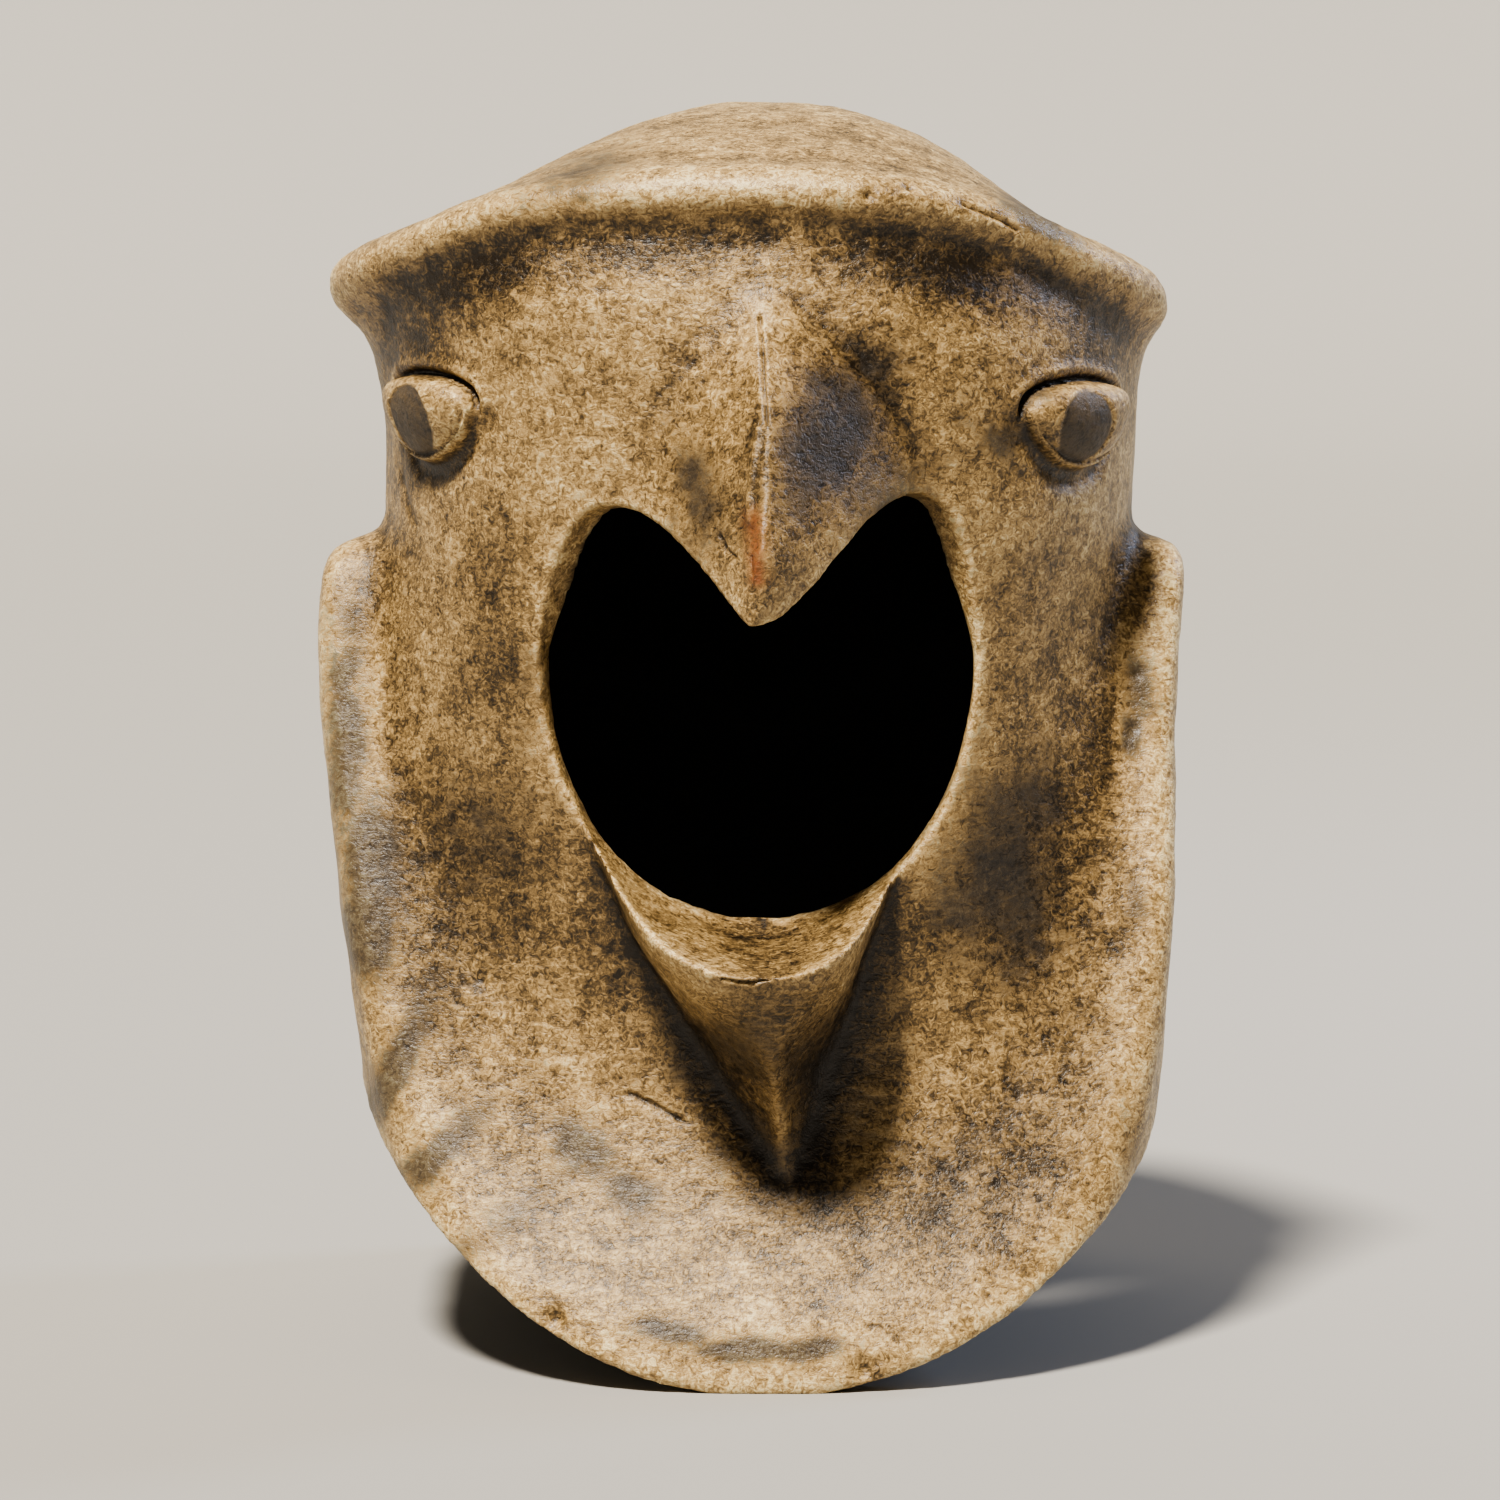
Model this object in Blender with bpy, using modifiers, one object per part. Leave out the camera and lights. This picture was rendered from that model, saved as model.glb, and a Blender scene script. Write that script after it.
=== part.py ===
"""Eagle warrior helmet: one hollow piece of burnished fired clay.

A domed head with a brow like a visor, a hooked beak over a heart shaped face opening, a pointed
lower bill, and a cowl whose rim runs down both cheeks and meets below the bill in a scooped bib.
Metres, +Z up, the face looks along -Y. "Forward" below is the distance along -Y from the upright
axis through the head. Left and right are those of the viewer who faces the helmet.
"""
import math

import bmesh
import bpy
import numpy as np

# Main sizes of the helmet
height = 0.386
wall = 0.010
head_half_width = 0.120
cowl_half_width = 0.1345
face_reach = 0.126
bib_reach = 0.144
nape_reach = 0.130

# Crown: how the dome falls towards its rim
crown_back = 0.026 * height
crown_rows_crowding = 1.5
dome_fullness = ((0, 1.4), (45, 1.55), (75, 1.85), (95, 1.65), (130, 0.7), (180, 0.5))
dome_flatness_left = 2.0
dome_flatness_right = 2.5

# Brow, from the middle of the forehead (0 degrees) round to the nape (180 degrees)
brow_top = 0.932 * height
brow_fall = (
    (0, 0.0), (18, 0.003), (37, 0.018), (56, 0.050), (72, 0.076),
    (90, 0.098), (125, 0.181), (180, 0.233),
)
brow_right_fall = 0.010 * height
brow_right_full = 70
brow_right_end = 140
brow_right_fade = 60
brow_reach = (
    (0, 1.033), (30, 1.058), (52, 1.090), (66, 1.118), (74, 1.128),
    (82, 1.085), (98, 1.02), (140, 1.0), (180, 0.954),
)
brow_depth = ((0, 0.018), (37, 0.020), (60, 0.026), (74, 0.030), (90, 0.026), (120, 0.030), (180, 0.045))
brow_undercut = 3.2
brow_roll_start = 0.925
brow_roll = ((0, 0.016), (55, 0.018), (74, 0.023), (88, 0.012), (120, 0.0), (180, 0.0))
brow_dip_start = 0.82
brow_dip = ((0, 0.002), (55, 0.003), (74, 0.013), (88, 0.010), (115, 0.0), (180, 0.0))

# Head, read at shares of the height: its width and reach as shares of the main sizes
head_width = (
    (0.0, 0.97), (0.3, 0.975), (0.6, 0.985), (0.74, 0.99),
    (0.81, 1.0), (0.86, 0.985), (0.9, 0.94), (1.0, 0.85),
)
face_profile = (
    (0.0, 0.79), (0.11, 0.81), (0.19, 0.82), (0.27, 0.85), (0.38, 0.88), (0.48, 0.913),
    (0.58, 0.944), (0.68, 0.984), (0.78, 1.0), (0.85, 0.984), (0.9, 0.944), (0.94, 0.929),
)
nape_profile = ((0.0, 0.93), (0.2, 0.908), (0.42, 0.938), (0.62, 0.977), (0.76, 0.977), (0.9, 0.923))
head_squareness = 2.25
least_slant = 0.5
lean = (
    (0.0, 0.005), (0.2, 0.006), (0.36, 0.001), (0.58, -0.003),
    (0.67, 0.005), (0.8, 0.003), (0.87, -0.006), (1.0, 0.0),
)

# Beak, read from its tip (0) to its root (1)
beak_root_height = 0.855 * height
beak_tip_height = 0.600 * height
beak_top_fade = 0.12
beak_foot = -0.55
beak_foot_fade = 0.35
beak_profile = ((0.0, 1.335), (0.2, 1.345), (0.5, 1.255), (0.75, 1.147), (0.92, 1.04), (1.0, 0.99))
beak_spread = ((0.0, 0.115), (0.3, 0.115), (0.6, 0.096), (0.85, 0.058), (1.0, 0.022))
beak_left_spread = 1.0
beak_right_spread = 1.1
beak_left_pinch = 1.9
beak_right_pinch = 1.2
beak_root_x = 0.008 * height
beak_tip_x = 0.0

# Lower bill, read from its foot in the bib (0) to the level of its tip (1)
bill_tip_height = 0.333 * height
bill_foot_height = 0.155 * height
bill_tip_reach = 1.275
bill_half_width = 0.090 * height
bill_foot_width = 0.08
bill_fullness = 0.9
bill_top = 1.1
bill_fade_start = 1.3
bill_fade_end = 2.0
bill_foot_shape = (1.2, 1.5)
bill_end_shape = (3.0, 1.8)
bill_foot_x = 0.018 * height

# Eyes
eye_height = 0.750 * height
eye_angle_left = 54.0
eye_angle_right = 51.0
eye_half_length = 0.058 * height
eye_half_height = 0.032 * height
eye_corner_taper = 0.35
eye_raise = 0.017 * height
eye_bulge_below = 0.2
lid_raise = 0.004 * height
lid_ring = 1.18
lid_width = 0.14

# Cowl and bib, read at shares of the height
cowl_width = (
    (0.0, 0.90), (0.16, 0.925), (0.24, 0.94), (0.36, 0.971),
    (0.47, 0.99), (0.57, 1.005), (0.68, 1.005),
)
cowl_squareness = ((0.0, 2.8), (0.15, 3.2), (0.26, 4.2), (0.36, 5.0), (0.68, 5.0))
cowl_left_squareness = ((0.0, 2.8), (0.15, 3.0), (0.26, 3.3), (0.36, 3.3), (0.68, 3.6))
cowl_back_squareness = 2.3
scoop_middle = (
    (0.0, 1.03), (0.03, 0.99), (0.105, 0.86), (0.184, 0.71),
    (0.26, 0.575), (0.38, 0.415), (0.7, 0.14),
)
scoop_side = (
    (0.0, 1.015), (0.06, 0.875), (0.14, 0.743), (0.21, 0.674),
    (0.36, 0.555), (0.47, 0.444), (0.6, 0.333), (0.7, 0.21),
)
shoulder_top = ((0, 0.640), (95, 0.637), (135, 0.58), (180, 0.50))
scoop_width = 1.1
rim_round = 0.012
shoulder_round = 0.014
neck_round = 0.009
trough_round = 0.036
trough_start = 0.21
trough_full = 0.56

# Ground under the two feet
floor_block = 3 * height

# Lower edge: a bow under the bib, raised over the shoulders, and a flatter curve at the nape
edge_middle = 0.002
edge_half_width = 0.1315
edge_width_share = 0.93
edge_squareness = 3.0
bib_edge_rise = 0.112
bib_edge_bend = 1.9
nape_edge_rise = 0.098
nape_edge_bend = 5.0
edge_round = 0.006
foot_depth = 0.0015

# Face opening, seen from the front: its outline at the lining and at the skin
opening_middle = 0.0065 * height
opening_widest = 0.568 * height
opening_bottom = 0.361 * height
lining_bottom_roundness = 2.15
skin_bottom_roundness = 1.8
lip_roundness = 2.0
lining_half_width = 0.0648
skin_half_width = 0.0740
lining_lobe_x = 0.0400
skin_lobe_x = 0.0452
lining_lobe_top = 0.685 * height
skin_lobe_top = 0.693 * height
lining_lobe_bluntness = 1.5
skin_lobe_bluntness = 1.0
lobe_tilt = 0.005 * height
notch_tip = 0.602 * height
notch_rise = 0.078 * height
notch_bend_left = 0.8
notch_bend_right = 1.15
lip_drop = 0.030 * height
opening_back = 0.020
lining_depth = 0.785
skin_depth = 0.915
lip_depth = 1.335
opening_front = 1.65
notch_rise_at_lining = 1.0
notch_rise_in_wall = 0.6
notch_rise_at_skin = 0.4
lip_drop_at_skin = 0.45
lip_drop_in_front = 1.6

# Finish
clay_colour = (0.27, 0.17, 0.085, 1.0)
clay_roughness = 0.5

# Fineness of the mesh
columns = 320
crown_rows = 46
body_rows = 150
axis_back = 0.104 * height
front_crowding = 0.35
girth = 2.1 * height
farthest = 0.62 * height
stride = 0.0104 * height
march_steps = 48
halvings = 8
lining_rounds = 12
opening_points = 48
clay_grain = 0.0047 * height
smoothing_rounds = 12
kept_share = 0.0195


def through(stations, place):
    """Smooth curve through (place, size) stations, read at a place or an array of them."""
    places, sizes = np.array(stations, dtype=float).T
    slopes = np.gradient(sizes, places)
    place = np.clip(place, places[0], places[-1])
    left = np.clip(np.searchsorted(places, place) - 1, 0, len(places) - 2)
    span = places[left + 1] - places[left]
    t = (place - places[left]) / span
    start, end = sizes[left], sizes[left + 1]
    bend_in = (t - 1) ** 2 * t * span * slopes[left]
    bend_out = (t - 1) * t**2 * span * slopes[left + 1]
    return start + (end - start) * t**2 * (3 - 2 * t) + bend_in + bend_out


def ease(share):
    """Goes from 0 to 1 with level ends."""
    share = np.clip(share, 0.0, 1.0)
    return share**2 * (3 - 2 * share)


def join(one, other, radius):
    """Greater of two depths in the clay, with a fillet between them."""
    share = np.clip(0.5 + 0.5 * (one - other) / radius, 0.0, 1.0)
    return other + (one - other) * share + radius * share * (1 - share)


def trim(one, other, radius):
    """Lesser of two depths in the clay, with a rounded edge between them."""
    return -join(-one, -other, radius)


def oval(angle, half_width, half_depth, squareness):
    """Radius of a squared oval at an angle from the front."""
    across = (np.abs(np.sin(angle)) / half_width) ** squareness
    along = (np.abs(np.cos(angle)) / half_depth) ** squareness
    return (across + along) ** (-1 / squareness)


def rightness(angle):
    """0 on the left side of the head, 1 on its right side."""
    return ease(0.5 + 0.5 * np.sin(angle))


def brow_line(angle):
    """Height of the brow's crest round the head, a little lower on the right."""
    turn = np.abs(np.degrees(angle))
    right = ease(np.degrees(angle) / brow_right_full) * ease((brow_right_end - turn) / brow_right_fade)
    return brow_top - height * through(brow_fall, turn) - brow_right_fall * right


def brow_radius(angle):
    """Radius of the brow's crest round the head."""
    behind = ease(-np.cos(angle))
    size = head_half_width + (nape_reach - head_half_width) * behind
    return size * through(brow_reach, np.abs(np.degrees(angle)))


def beak_relief(x, z, reach):
    """How far the beak stands out of the face."""
    share = (z - beak_tip_height) / (beak_root_height - beak_tip_height)
    ridge_x = beak_tip_x + (beak_root_x - beak_tip_x) * np.clip(share, 0, 1)
    right = ease(0.5 + (x - ridge_x) / wall)
    spread = beak_left_spread + (beak_right_spread - beak_left_spread) * right
    pinch = beak_left_pinch + (beak_right_pinch - beak_left_pinch) * right
    side = np.abs(x - ridge_x) / (height * spread * through(beak_spread, share))
    rise = np.maximum(face_reach * through(beak_profile, share) - reach, 0)
    top = ease((1 + beak_top_fade / 2 - share) / beak_top_fade)
    foot = ease((share - beak_foot) / beak_foot_fade)
    return top * foot * rise * np.clip(1 - side, 0, 1) ** pinch


def bill_relief(x, z, reach):
    """How far the lower bill stands out: a keel below, which widens to a blunt end at the lip."""
    share = np.clip((z - bill_foot_height) / (bill_tip_height - bill_foot_height), 0, bill_fade_end)
    fade = ease((bill_fade_end - share) / (bill_fade_end - bill_fade_start))
    half_width = bill_half_width * (bill_foot_width + (1 - bill_foot_width) * share)
    share = np.minimum(share, bill_top)
    keel_x = bill_foot_x * (1 - share)
    side = np.clip(np.abs(x - keel_x) / half_width, 0, 1)
    rise = (face_reach * bill_tip_reach - reach) * share**bill_fullness
    end = ease(2 * share - 1)
    bluntness = bill_foot_shape[0] + (bill_end_shape[0] - bill_foot_shape[0]) * end
    skirt = bill_foot_shape[1] + (bill_end_shape[1] - bill_foot_shape[1]) * end
    return fade * rise * (1 - side**bluntness) ** skirt


def eye_relief(angle, z, reach):
    """A raised almond eye with a lid round it, on each side of the head."""
    middle = np.radians(np.where(angle < 0, eye_angle_left, eye_angle_right))
    along = (np.abs(angle) - middle) * reach / eye_half_length
    across = (z - eye_height) / (eye_half_height * (1 - eye_corner_taper * np.clip(along**2, 0, 1)))
    ring = np.sqrt(along**2 + across**2)
    ball = eye_raise * (1 - eye_bulge_below * across) * np.sqrt(np.clip(1 - ring**2, 0, 1))
    lid = lid_raise * np.exp(-(((ring - lid_ring) / lid_width) ** 2)) * ease(across + 1)
    return ball + lid


def plain_head_radius(angle, z):
    """Radius of the head before brow, beak, bill and eyes are put on it."""
    level = z / height
    face, nape = face_reach * through(face_profile, level), nape_reach * through(nape_profile, level)
    depth = np.where(np.cos(angle) > 0, face, nape)
    return oval(angle, head_half_width * through(head_width, level), depth, head_squareness)


def head_radius(angle, z):
    """Outer radius of the head with brow, beak, bill and eyes."""
    radius = plain_head_radius(angle, z)
    reach = face_reach * through(face_profile, z / height)
    depth = height * through(brow_depth, np.abs(np.degrees(angle)))
    below = np.maximum(brow_line(angle) - z, 0) / depth
    radius = radius + np.maximum(brow_radius(angle) - radius, 0) / (1 + below**brow_undercut)
    x = radius * np.sin(angle)
    front = np.maximum(np.cos(angle), least_slant)
    relief = beak_relief(x, z, reach) + bill_relief(x, z, reach)
    return radius + relief * (np.cos(angle) > 0) / front + eye_relief(angle, z, reach)


def cowl_depth(x, forward, z):
    """Depth inside the cowl, which is scooped out in front."""
    angle = np.arctan2(x, forward)
    level = z / height
    half_width = cowl_half_width * through(cowl_width, level)
    left, right = through(cowl_left_squareness, level), through(cowl_squareness, level)
    in_front = forward > 0
    squareness = np.where(in_front, np.where(x < 0, left, right), cowl_back_squareness)
    radius = oval(angle, half_width, np.where(in_front, bib_reach, nape_reach), squareness)
    side = np.clip(np.abs(x) / half_width, 0, scoop_width) ** 2
    middle = through(scoop_middle, level)
    scoop = bib_reach * (middle + (through(scoop_side, level) - middle) * side)
    body = trim(radius - np.hypot(x, forward), scoop - forward, rim_round)
    top = height * through(shoulder_top, np.abs(np.degrees(angle)))
    return trim(body, top - z, shoulder_round)


def ray_angle(angle, radius):
    """Angle of a point of the head at the axis of the mesh's rays, which stands behind the head's own."""
    return np.arctan2(radius * np.sin(angle), radius * np.cos(angle) + axis_back)


def lower_edge(rays):
    """Height of the helmet's lower edge round the head."""
    angle = np.linspace(-math.pi, math.pi, 4 * columns)
    depth = np.where(np.cos(angle) > 0, bib_reach, nape_reach)
    radius = oval(angle, edge_width_share * cowl_half_width, depth, edge_squareness)
    out = np.clip(np.abs(radius * np.sin(angle) - edge_middle) / edge_half_width, 0, 1)
    bib = bib_edge_rise * (1 - (1 - out**bib_edge_bend) ** (1 / bib_edge_bend))
    nape = nape_edge_rise * out**nape_edge_bend
    edge = nape + (bib - nape) * ease(np.cos(angle) + 0.5) - foot_depth
    return np.interp(rays, ray_angle(angle, radius), edge)


def clay_depth(x, forward, z, edge, head_form):
    """Depth of a point inside the clay form, less than zero in the open air."""
    head = head_form(np.arctan2(x, forward), z) - np.hypot(x, forward)
    trough = ease((forward / bib_reach - trough_start) / (trough_full - trough_start))
    form = join(head, cowl_depth(x, forward, z), neck_round + (trough_round - neck_round) * trough)
    return trim(form, z - edge + edge_round / 4, edge_round)


def ray_lengths(angles, levels, edge, head_form):
    """Marches in from outside, then halves the step, until each ray from the axis meets the clay."""
    sine, cosine = np.sin(angles), np.cos(angles)

    def inside(radii):
        return clay_depth(radii * sine, radii * cosine - axis_back, levels, edge, head_form) > 0

    radii = np.full(levels.shape, farthest)
    for _ in range(march_steps):
        radii = np.where(inside(radii), radii, radii - stride)
    step = stride
    for _ in range(halvings):
        step /= 2
        radii = np.where(inside(radii + step), radii + step, radii)
    return radii


def inner_radii(radii):
    """The hollow's radii: the least radius close by, which passes the cowl's rim, less the wall."""
    reach_rows = max(1, round(wall * body_rows / height))
    reach_columns = max(1, round(wall * columns / girth))
    least = radii
    for shift in range(-reach_columns, reach_columns + 1):
        least = np.minimum(least, np.roll(radii, shift, axis=1))
    padded = np.pad(least, ((reach_rows, reach_rows), (0, 0)), mode="edge")
    least = np.min([padded[row : row + len(radii)] for row in range(2 * reach_rows + 1)], axis=0)
    for _ in range(lining_rounds):
        padded = np.pad(least, ((1, 1), (0, 0)), mode="edge")
        rows = (padded[:-2] + padded[1:-1] + padded[2:]) / 3
        least = (np.roll(rows, 1, axis=1) + rows + np.roll(rows, -1, axis=1)) / 3
    return least - wall


def placed(radii, angles, levels):
    """Points at these radii from the axis, as x, y and z."""
    return np.stack([radii * np.sin(angles), axis_back - radii * np.cos(angles), levels], axis=-1)


def crown(rim_radii, angles, rim_levels, shape, top):
    """Rows of points from the top of the crown down to the brow, which rolls over at its edge."""
    fullness, flatness, roll, dip = shape
    share = 1 - (1 - np.linspace(0, 1, crown_rows + 1)[1:-1, None]) ** crown_rows_crowding
    fall = 1 - (1 - share**flatness) ** fullness
    dipped = dip * (ease((share - brow_dip_start) / (brow_roll_start - brow_dip_start)) - fall)
    over = np.clip((share - brow_roll_start) / (1 - brow_roll_start), 0, 1)
    rolled = roll * (np.sqrt(1 - over**2) - 1)
    levels = top - (top - rim_levels - roll) * fall + dipped + rolled
    points = placed(rim_radii * share, angles, levels)
    points[..., 1] += (crown_back - axis_back) * (1 - share)
    return points


def closed_mesh(name, rows, top, bottom):
    """Closes rows of points, each a ring seen counter-clockwise from above, with a point at each end."""
    count = rows.shape[1]
    vertices = [tuple(point) for point in rows.reshape(-1, 3)] + [top, bottom]
    faces = []
    for row in range(len(rows) - 1):
        for column in range(count):
            after = (column + 1) % count
            upper, lower = row * count, (row + 1) * count
            faces.append((upper + column, lower + column, lower + after, upper + after))
    last = (len(rows) - 1) * count
    for column in range(count):
        after = (column + 1) % count
        faces.append((len(vertices) - 2, column, after))
        faces.append((last + column, len(vertices) - 1, last + after))
    mesh = bpy.data.meshes.new(name)
    mesh.from_pydata(vertices, [], faces)
    mesh.validate()
    return mesh


def shell_mesh():
    """The whole shell before its face is opened: down the outside, up the inside."""
    turn = np.linspace(-math.pi, math.pi, columns, endpoint=False)
    head_angles = turn - front_crowding * np.sin(turn)
    degrees = np.abs(np.degrees(head_angles))
    angles = ray_angle(head_angles, brow_radius(head_angles))
    crest, edge = brow_line(head_angles), lower_edge(angles)
    fullness = through(dome_fullness, degrees)
    flatness = dome_flatness_left + (dome_flatness_right - dome_flatness_left) * rightness(head_angles)
    roll, dip = height * through(brow_roll, degrees), height * through(brow_dip, degrees)
    share = np.linspace(0, 1, body_rows)[:, None]
    levels = crest - (crest - edge) * share
    outer = ray_lengths(angles, levels, edge, head_radius)
    inner = inner_radii(ray_lengths(angles, levels, edge, plain_head_radius))
    lining_crest, lining_top = crest - wall, height - wall
    lining_levels = lining_crest - (lining_crest - edge) * share
    outer_crown = crown(outer[0], angles, crest, (fullness, flatness, roll, dip), height)
    lining_crown = crown(inner[0], angles, lining_crest, (fullness, flatness, 0, 0), lining_top)
    outside = [outer_crown, placed(outer, angles, levels)]
    inside = [lining_crown, placed(inner, angles, lining_levels)]
    rows = np.concatenate(outside + [np.concatenate(inside)[::-1]])
    rows[..., 0] += height * through(lean, rows[..., 2] / height)
    ends = [(0.0, crown_back, top) for top in (height, lining_top)]
    return closed_mesh("helmet", rows, *ends)


def opening_outline(half_width, lobe, bluntness, notch, low):
    """The heart shaped face opening as x and z, from its greatest width round by the right lobe."""
    (lobe_across, lobe_top), (bottom, roundness) = lobe, low
    turn = np.linspace(0, math.pi, opening_points, endpoint=False)
    side_x = lobe_across + (half_width - lobe_across) * np.cos(turn / 2) ** bluntness
    side_z = opening_widest + (lobe_top - opening_widest) * np.sin(turn / 2) ** bluntness
    inner_x = lobe_across * (1 - turn / math.pi)
    climb = ease(inner_x / lobe_across)
    halves = []
    for side, bend in ((1, notch_bend_right), (-1, notch_bend_left)):
        inner_z = notch + (lobe_top - notch) * climb**bend
        xs, zs = np.concatenate([side_x, inner_x]), np.concatenate([side_z, inner_z])
        halves.append(np.stack([side * xs, zs], axis=-1))
    power = 2 / roundness
    low_x = half_width * np.sign(np.cos(turn)) * np.abs(np.cos(turn)) ** power
    low_z = opening_widest - (opening_widest - bottom) * np.sin(turn) ** power
    under = np.stack([low_x, low_z], axis=-1)[::-1]
    outline = np.concatenate([halves[0], [[0.0, notch]], halves[1][:0:-1], under])
    above = np.clip((outline[:, 1] - opening_widest) / (lobe_top - opening_widest), 0, 1)
    nearness = np.clip(1 - np.abs(outline[:, 0]) / lobe_across, 0, 1) * (above > 0)
    shift = opening_middle + (beak_tip_x - opening_middle) * nearness
    tilt = lobe_tilt * above * outline[:, 0] / lobe_across
    return outline + np.stack([shift, tilt], axis=-1)


def opening_cutter():
    """A loft of hearts, wider at the skin than at the lining, whose floor slopes down to the lip."""
    lining = (lining_half_width, (lining_lobe_x, lining_lobe_top), lining_lobe_bluntness)
    skin = (skin_half_width, (skin_lobe_x, skin_lobe_top), skin_lobe_bluntness)
    steps = (
        (-opening_back, lining, notch_rise_at_lining, 0.0, lining_bottom_roundness),
        (lining_depth * face_reach, lining, notch_rise_in_wall, 0.0, lining_bottom_roundness),
        (skin_depth * face_reach, skin, notch_rise_at_skin, lip_drop_at_skin, skin_bottom_roundness),
        (lip_depth * face_reach, skin, 0.0, 1.0, lip_roundness),
        (opening_front * face_reach, skin, 0.0, lip_drop_in_front, lip_roundness),
    )
    rows = []
    for forward, (half_width, lobe, bluntness), rise, drop, roundness in steps:
        notch, low = notch_tip + rise * notch_rise, (opening_bottom - drop * lip_drop, roundness)
        outline = opening_outline(half_width, lobe, bluntness, notch, low)
        rows.append([(x, -forward, z) for x, z in outline])
    middle_z = (opening_widest + opening_bottom) / 2
    ends = [(opening_middle, -steps[0][0], middle_z), (opening_middle, -steps[-1][0], middle_z)]
    return closed_mesh("opening_cutter", np.array(rows), *ends)


def fired_clay():
    """Burnished tan clay."""
    material = bpy.data.materials.new("burnished_clay")
    material.use_nodes = True
    shader = material.node_tree.nodes["Principled BSDF"]
    shader.inputs["Base Color"].default_value = clay_colour
    shader.inputs["Roughness"].default_value = clay_roughness
    shader.inputs["Metallic"].default_value = 0.0
    material.diffuse_color = clay_colour
    return material


def put(mesh, collection):
    """An object for this mesh, with its faces turned outwards."""
    shape = bmesh.new()
    shape.from_mesh(mesh)
    bmesh.ops.recalc_face_normals(shape, faces=shape.faces)
    shape.to_mesh(mesh)
    shape.free()
    body = bpy.data.objects.new(mesh.name, mesh)
    collection.objects.link(body)
    return body


def cut(body, cutter, name):
    """Cuts the cutter's volume out of the body."""
    modifier = body.modifiers.new(name, "BOOLEAN")
    modifier.operation = "DIFFERENCE"
    modifier.solver = "EXACT"
    modifier.object = cutter
    cutter.hide_render = True
    cutter.display_type = "WIRE"


def floor_cutter(collection):
    """A block whose top is the ground, to give the bib and the nape their flat feet."""
    bpy.ops.mesh.primitive_cube_add(size=floor_block)
    block = bpy.context.active_object
    block.name = "floor_cutter"
    for vertex in block.data.vertices:
        vertex.co.z -= floor_block / 2
    for owner in list(block.users_collection):
        owner.objects.unlink(block)
    collection.objects.link(block)
    return block


def middle_to_origin(mesh):
    """The move that puts the middle of the helmet over the origin."""
    points = np.array([vertex.co for vertex in mesh.vertices])
    middle = (points.min(axis=0) + points.max(axis=0)) / 2
    return (-middle[0], -middle[1], 0.0)


def main():
    for leftover in list(bpy.data.objects):
        bpy.data.objects.remove(leftover, do_unlink=True)
    parts = bpy.data.collections.new("eagle_warrior_helmet")
    cutters = bpy.data.collections.new("cutters")
    for collection in (parts, cutters):
        bpy.context.scene.collection.children.link(collection)

    helmet = put(shell_mesh(), parts)
    helmet.data.materials.append(fired_clay())
    opening = put(opening_cutter(), cutters)
    cut(helmet, opening, "face opening")
    for body in (helmet, opening):
        body.location = middle_to_origin(helmet.data)

    grain = helmet.modifiers.new("worked clay", "REMESH")
    grain.mode = "VOXEL"
    grain.voxel_size = clay_grain
    grain.use_smooth_shade = True
    smooth = helmet.modifiers.new("burnished edges", "SMOOTH")
    smooth.factor = 0.5
    smooth.iterations = smoothing_rounds
    thin = helmet.modifiers.new("fewer faces", "DECIMATE")
    thin.ratio = kept_share
    cut(helmet, floor_cutter(cutters), "flat feet")


main()
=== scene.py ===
"""Eagle warrior helmet of burnished fired clay: its finished surface, on a plain pale floor."""
import math

import bmesh
import bpy
import numpy as np
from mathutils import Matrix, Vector, noise


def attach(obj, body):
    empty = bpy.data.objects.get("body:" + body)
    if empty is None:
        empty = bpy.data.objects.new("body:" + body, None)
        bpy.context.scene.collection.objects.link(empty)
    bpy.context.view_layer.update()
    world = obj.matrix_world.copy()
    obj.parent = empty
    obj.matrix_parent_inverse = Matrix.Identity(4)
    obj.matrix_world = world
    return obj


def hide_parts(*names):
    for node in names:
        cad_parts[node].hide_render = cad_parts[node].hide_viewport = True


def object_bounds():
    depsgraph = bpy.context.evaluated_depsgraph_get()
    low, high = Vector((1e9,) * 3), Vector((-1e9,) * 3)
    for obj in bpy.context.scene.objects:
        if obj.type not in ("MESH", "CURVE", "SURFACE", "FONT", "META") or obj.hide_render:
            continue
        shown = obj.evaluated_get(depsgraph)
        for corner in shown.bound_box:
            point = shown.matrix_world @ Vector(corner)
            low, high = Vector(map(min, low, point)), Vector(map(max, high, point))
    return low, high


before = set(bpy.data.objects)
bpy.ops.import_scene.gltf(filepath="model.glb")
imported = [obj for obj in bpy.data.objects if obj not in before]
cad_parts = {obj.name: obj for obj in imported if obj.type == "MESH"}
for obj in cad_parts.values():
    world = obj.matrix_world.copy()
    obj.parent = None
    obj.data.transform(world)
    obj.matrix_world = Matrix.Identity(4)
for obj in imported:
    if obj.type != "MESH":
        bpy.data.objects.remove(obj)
cad_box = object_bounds()

# Camera, floor and studio light
# The camera stands level with the helmet's chin, a little above it, with a long lens.
view_distance = 2.0
view_tilt = math.radians(6)
lens_mm = 150
sensor_mm = 36
look_at = (-0.0003, 0.0194, 0.1797)


def deselect():
    """Leaves no object selected before an operator runs."""
    for thing in list(bpy.context.selected_objects):
        thing.select_set(False)


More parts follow.
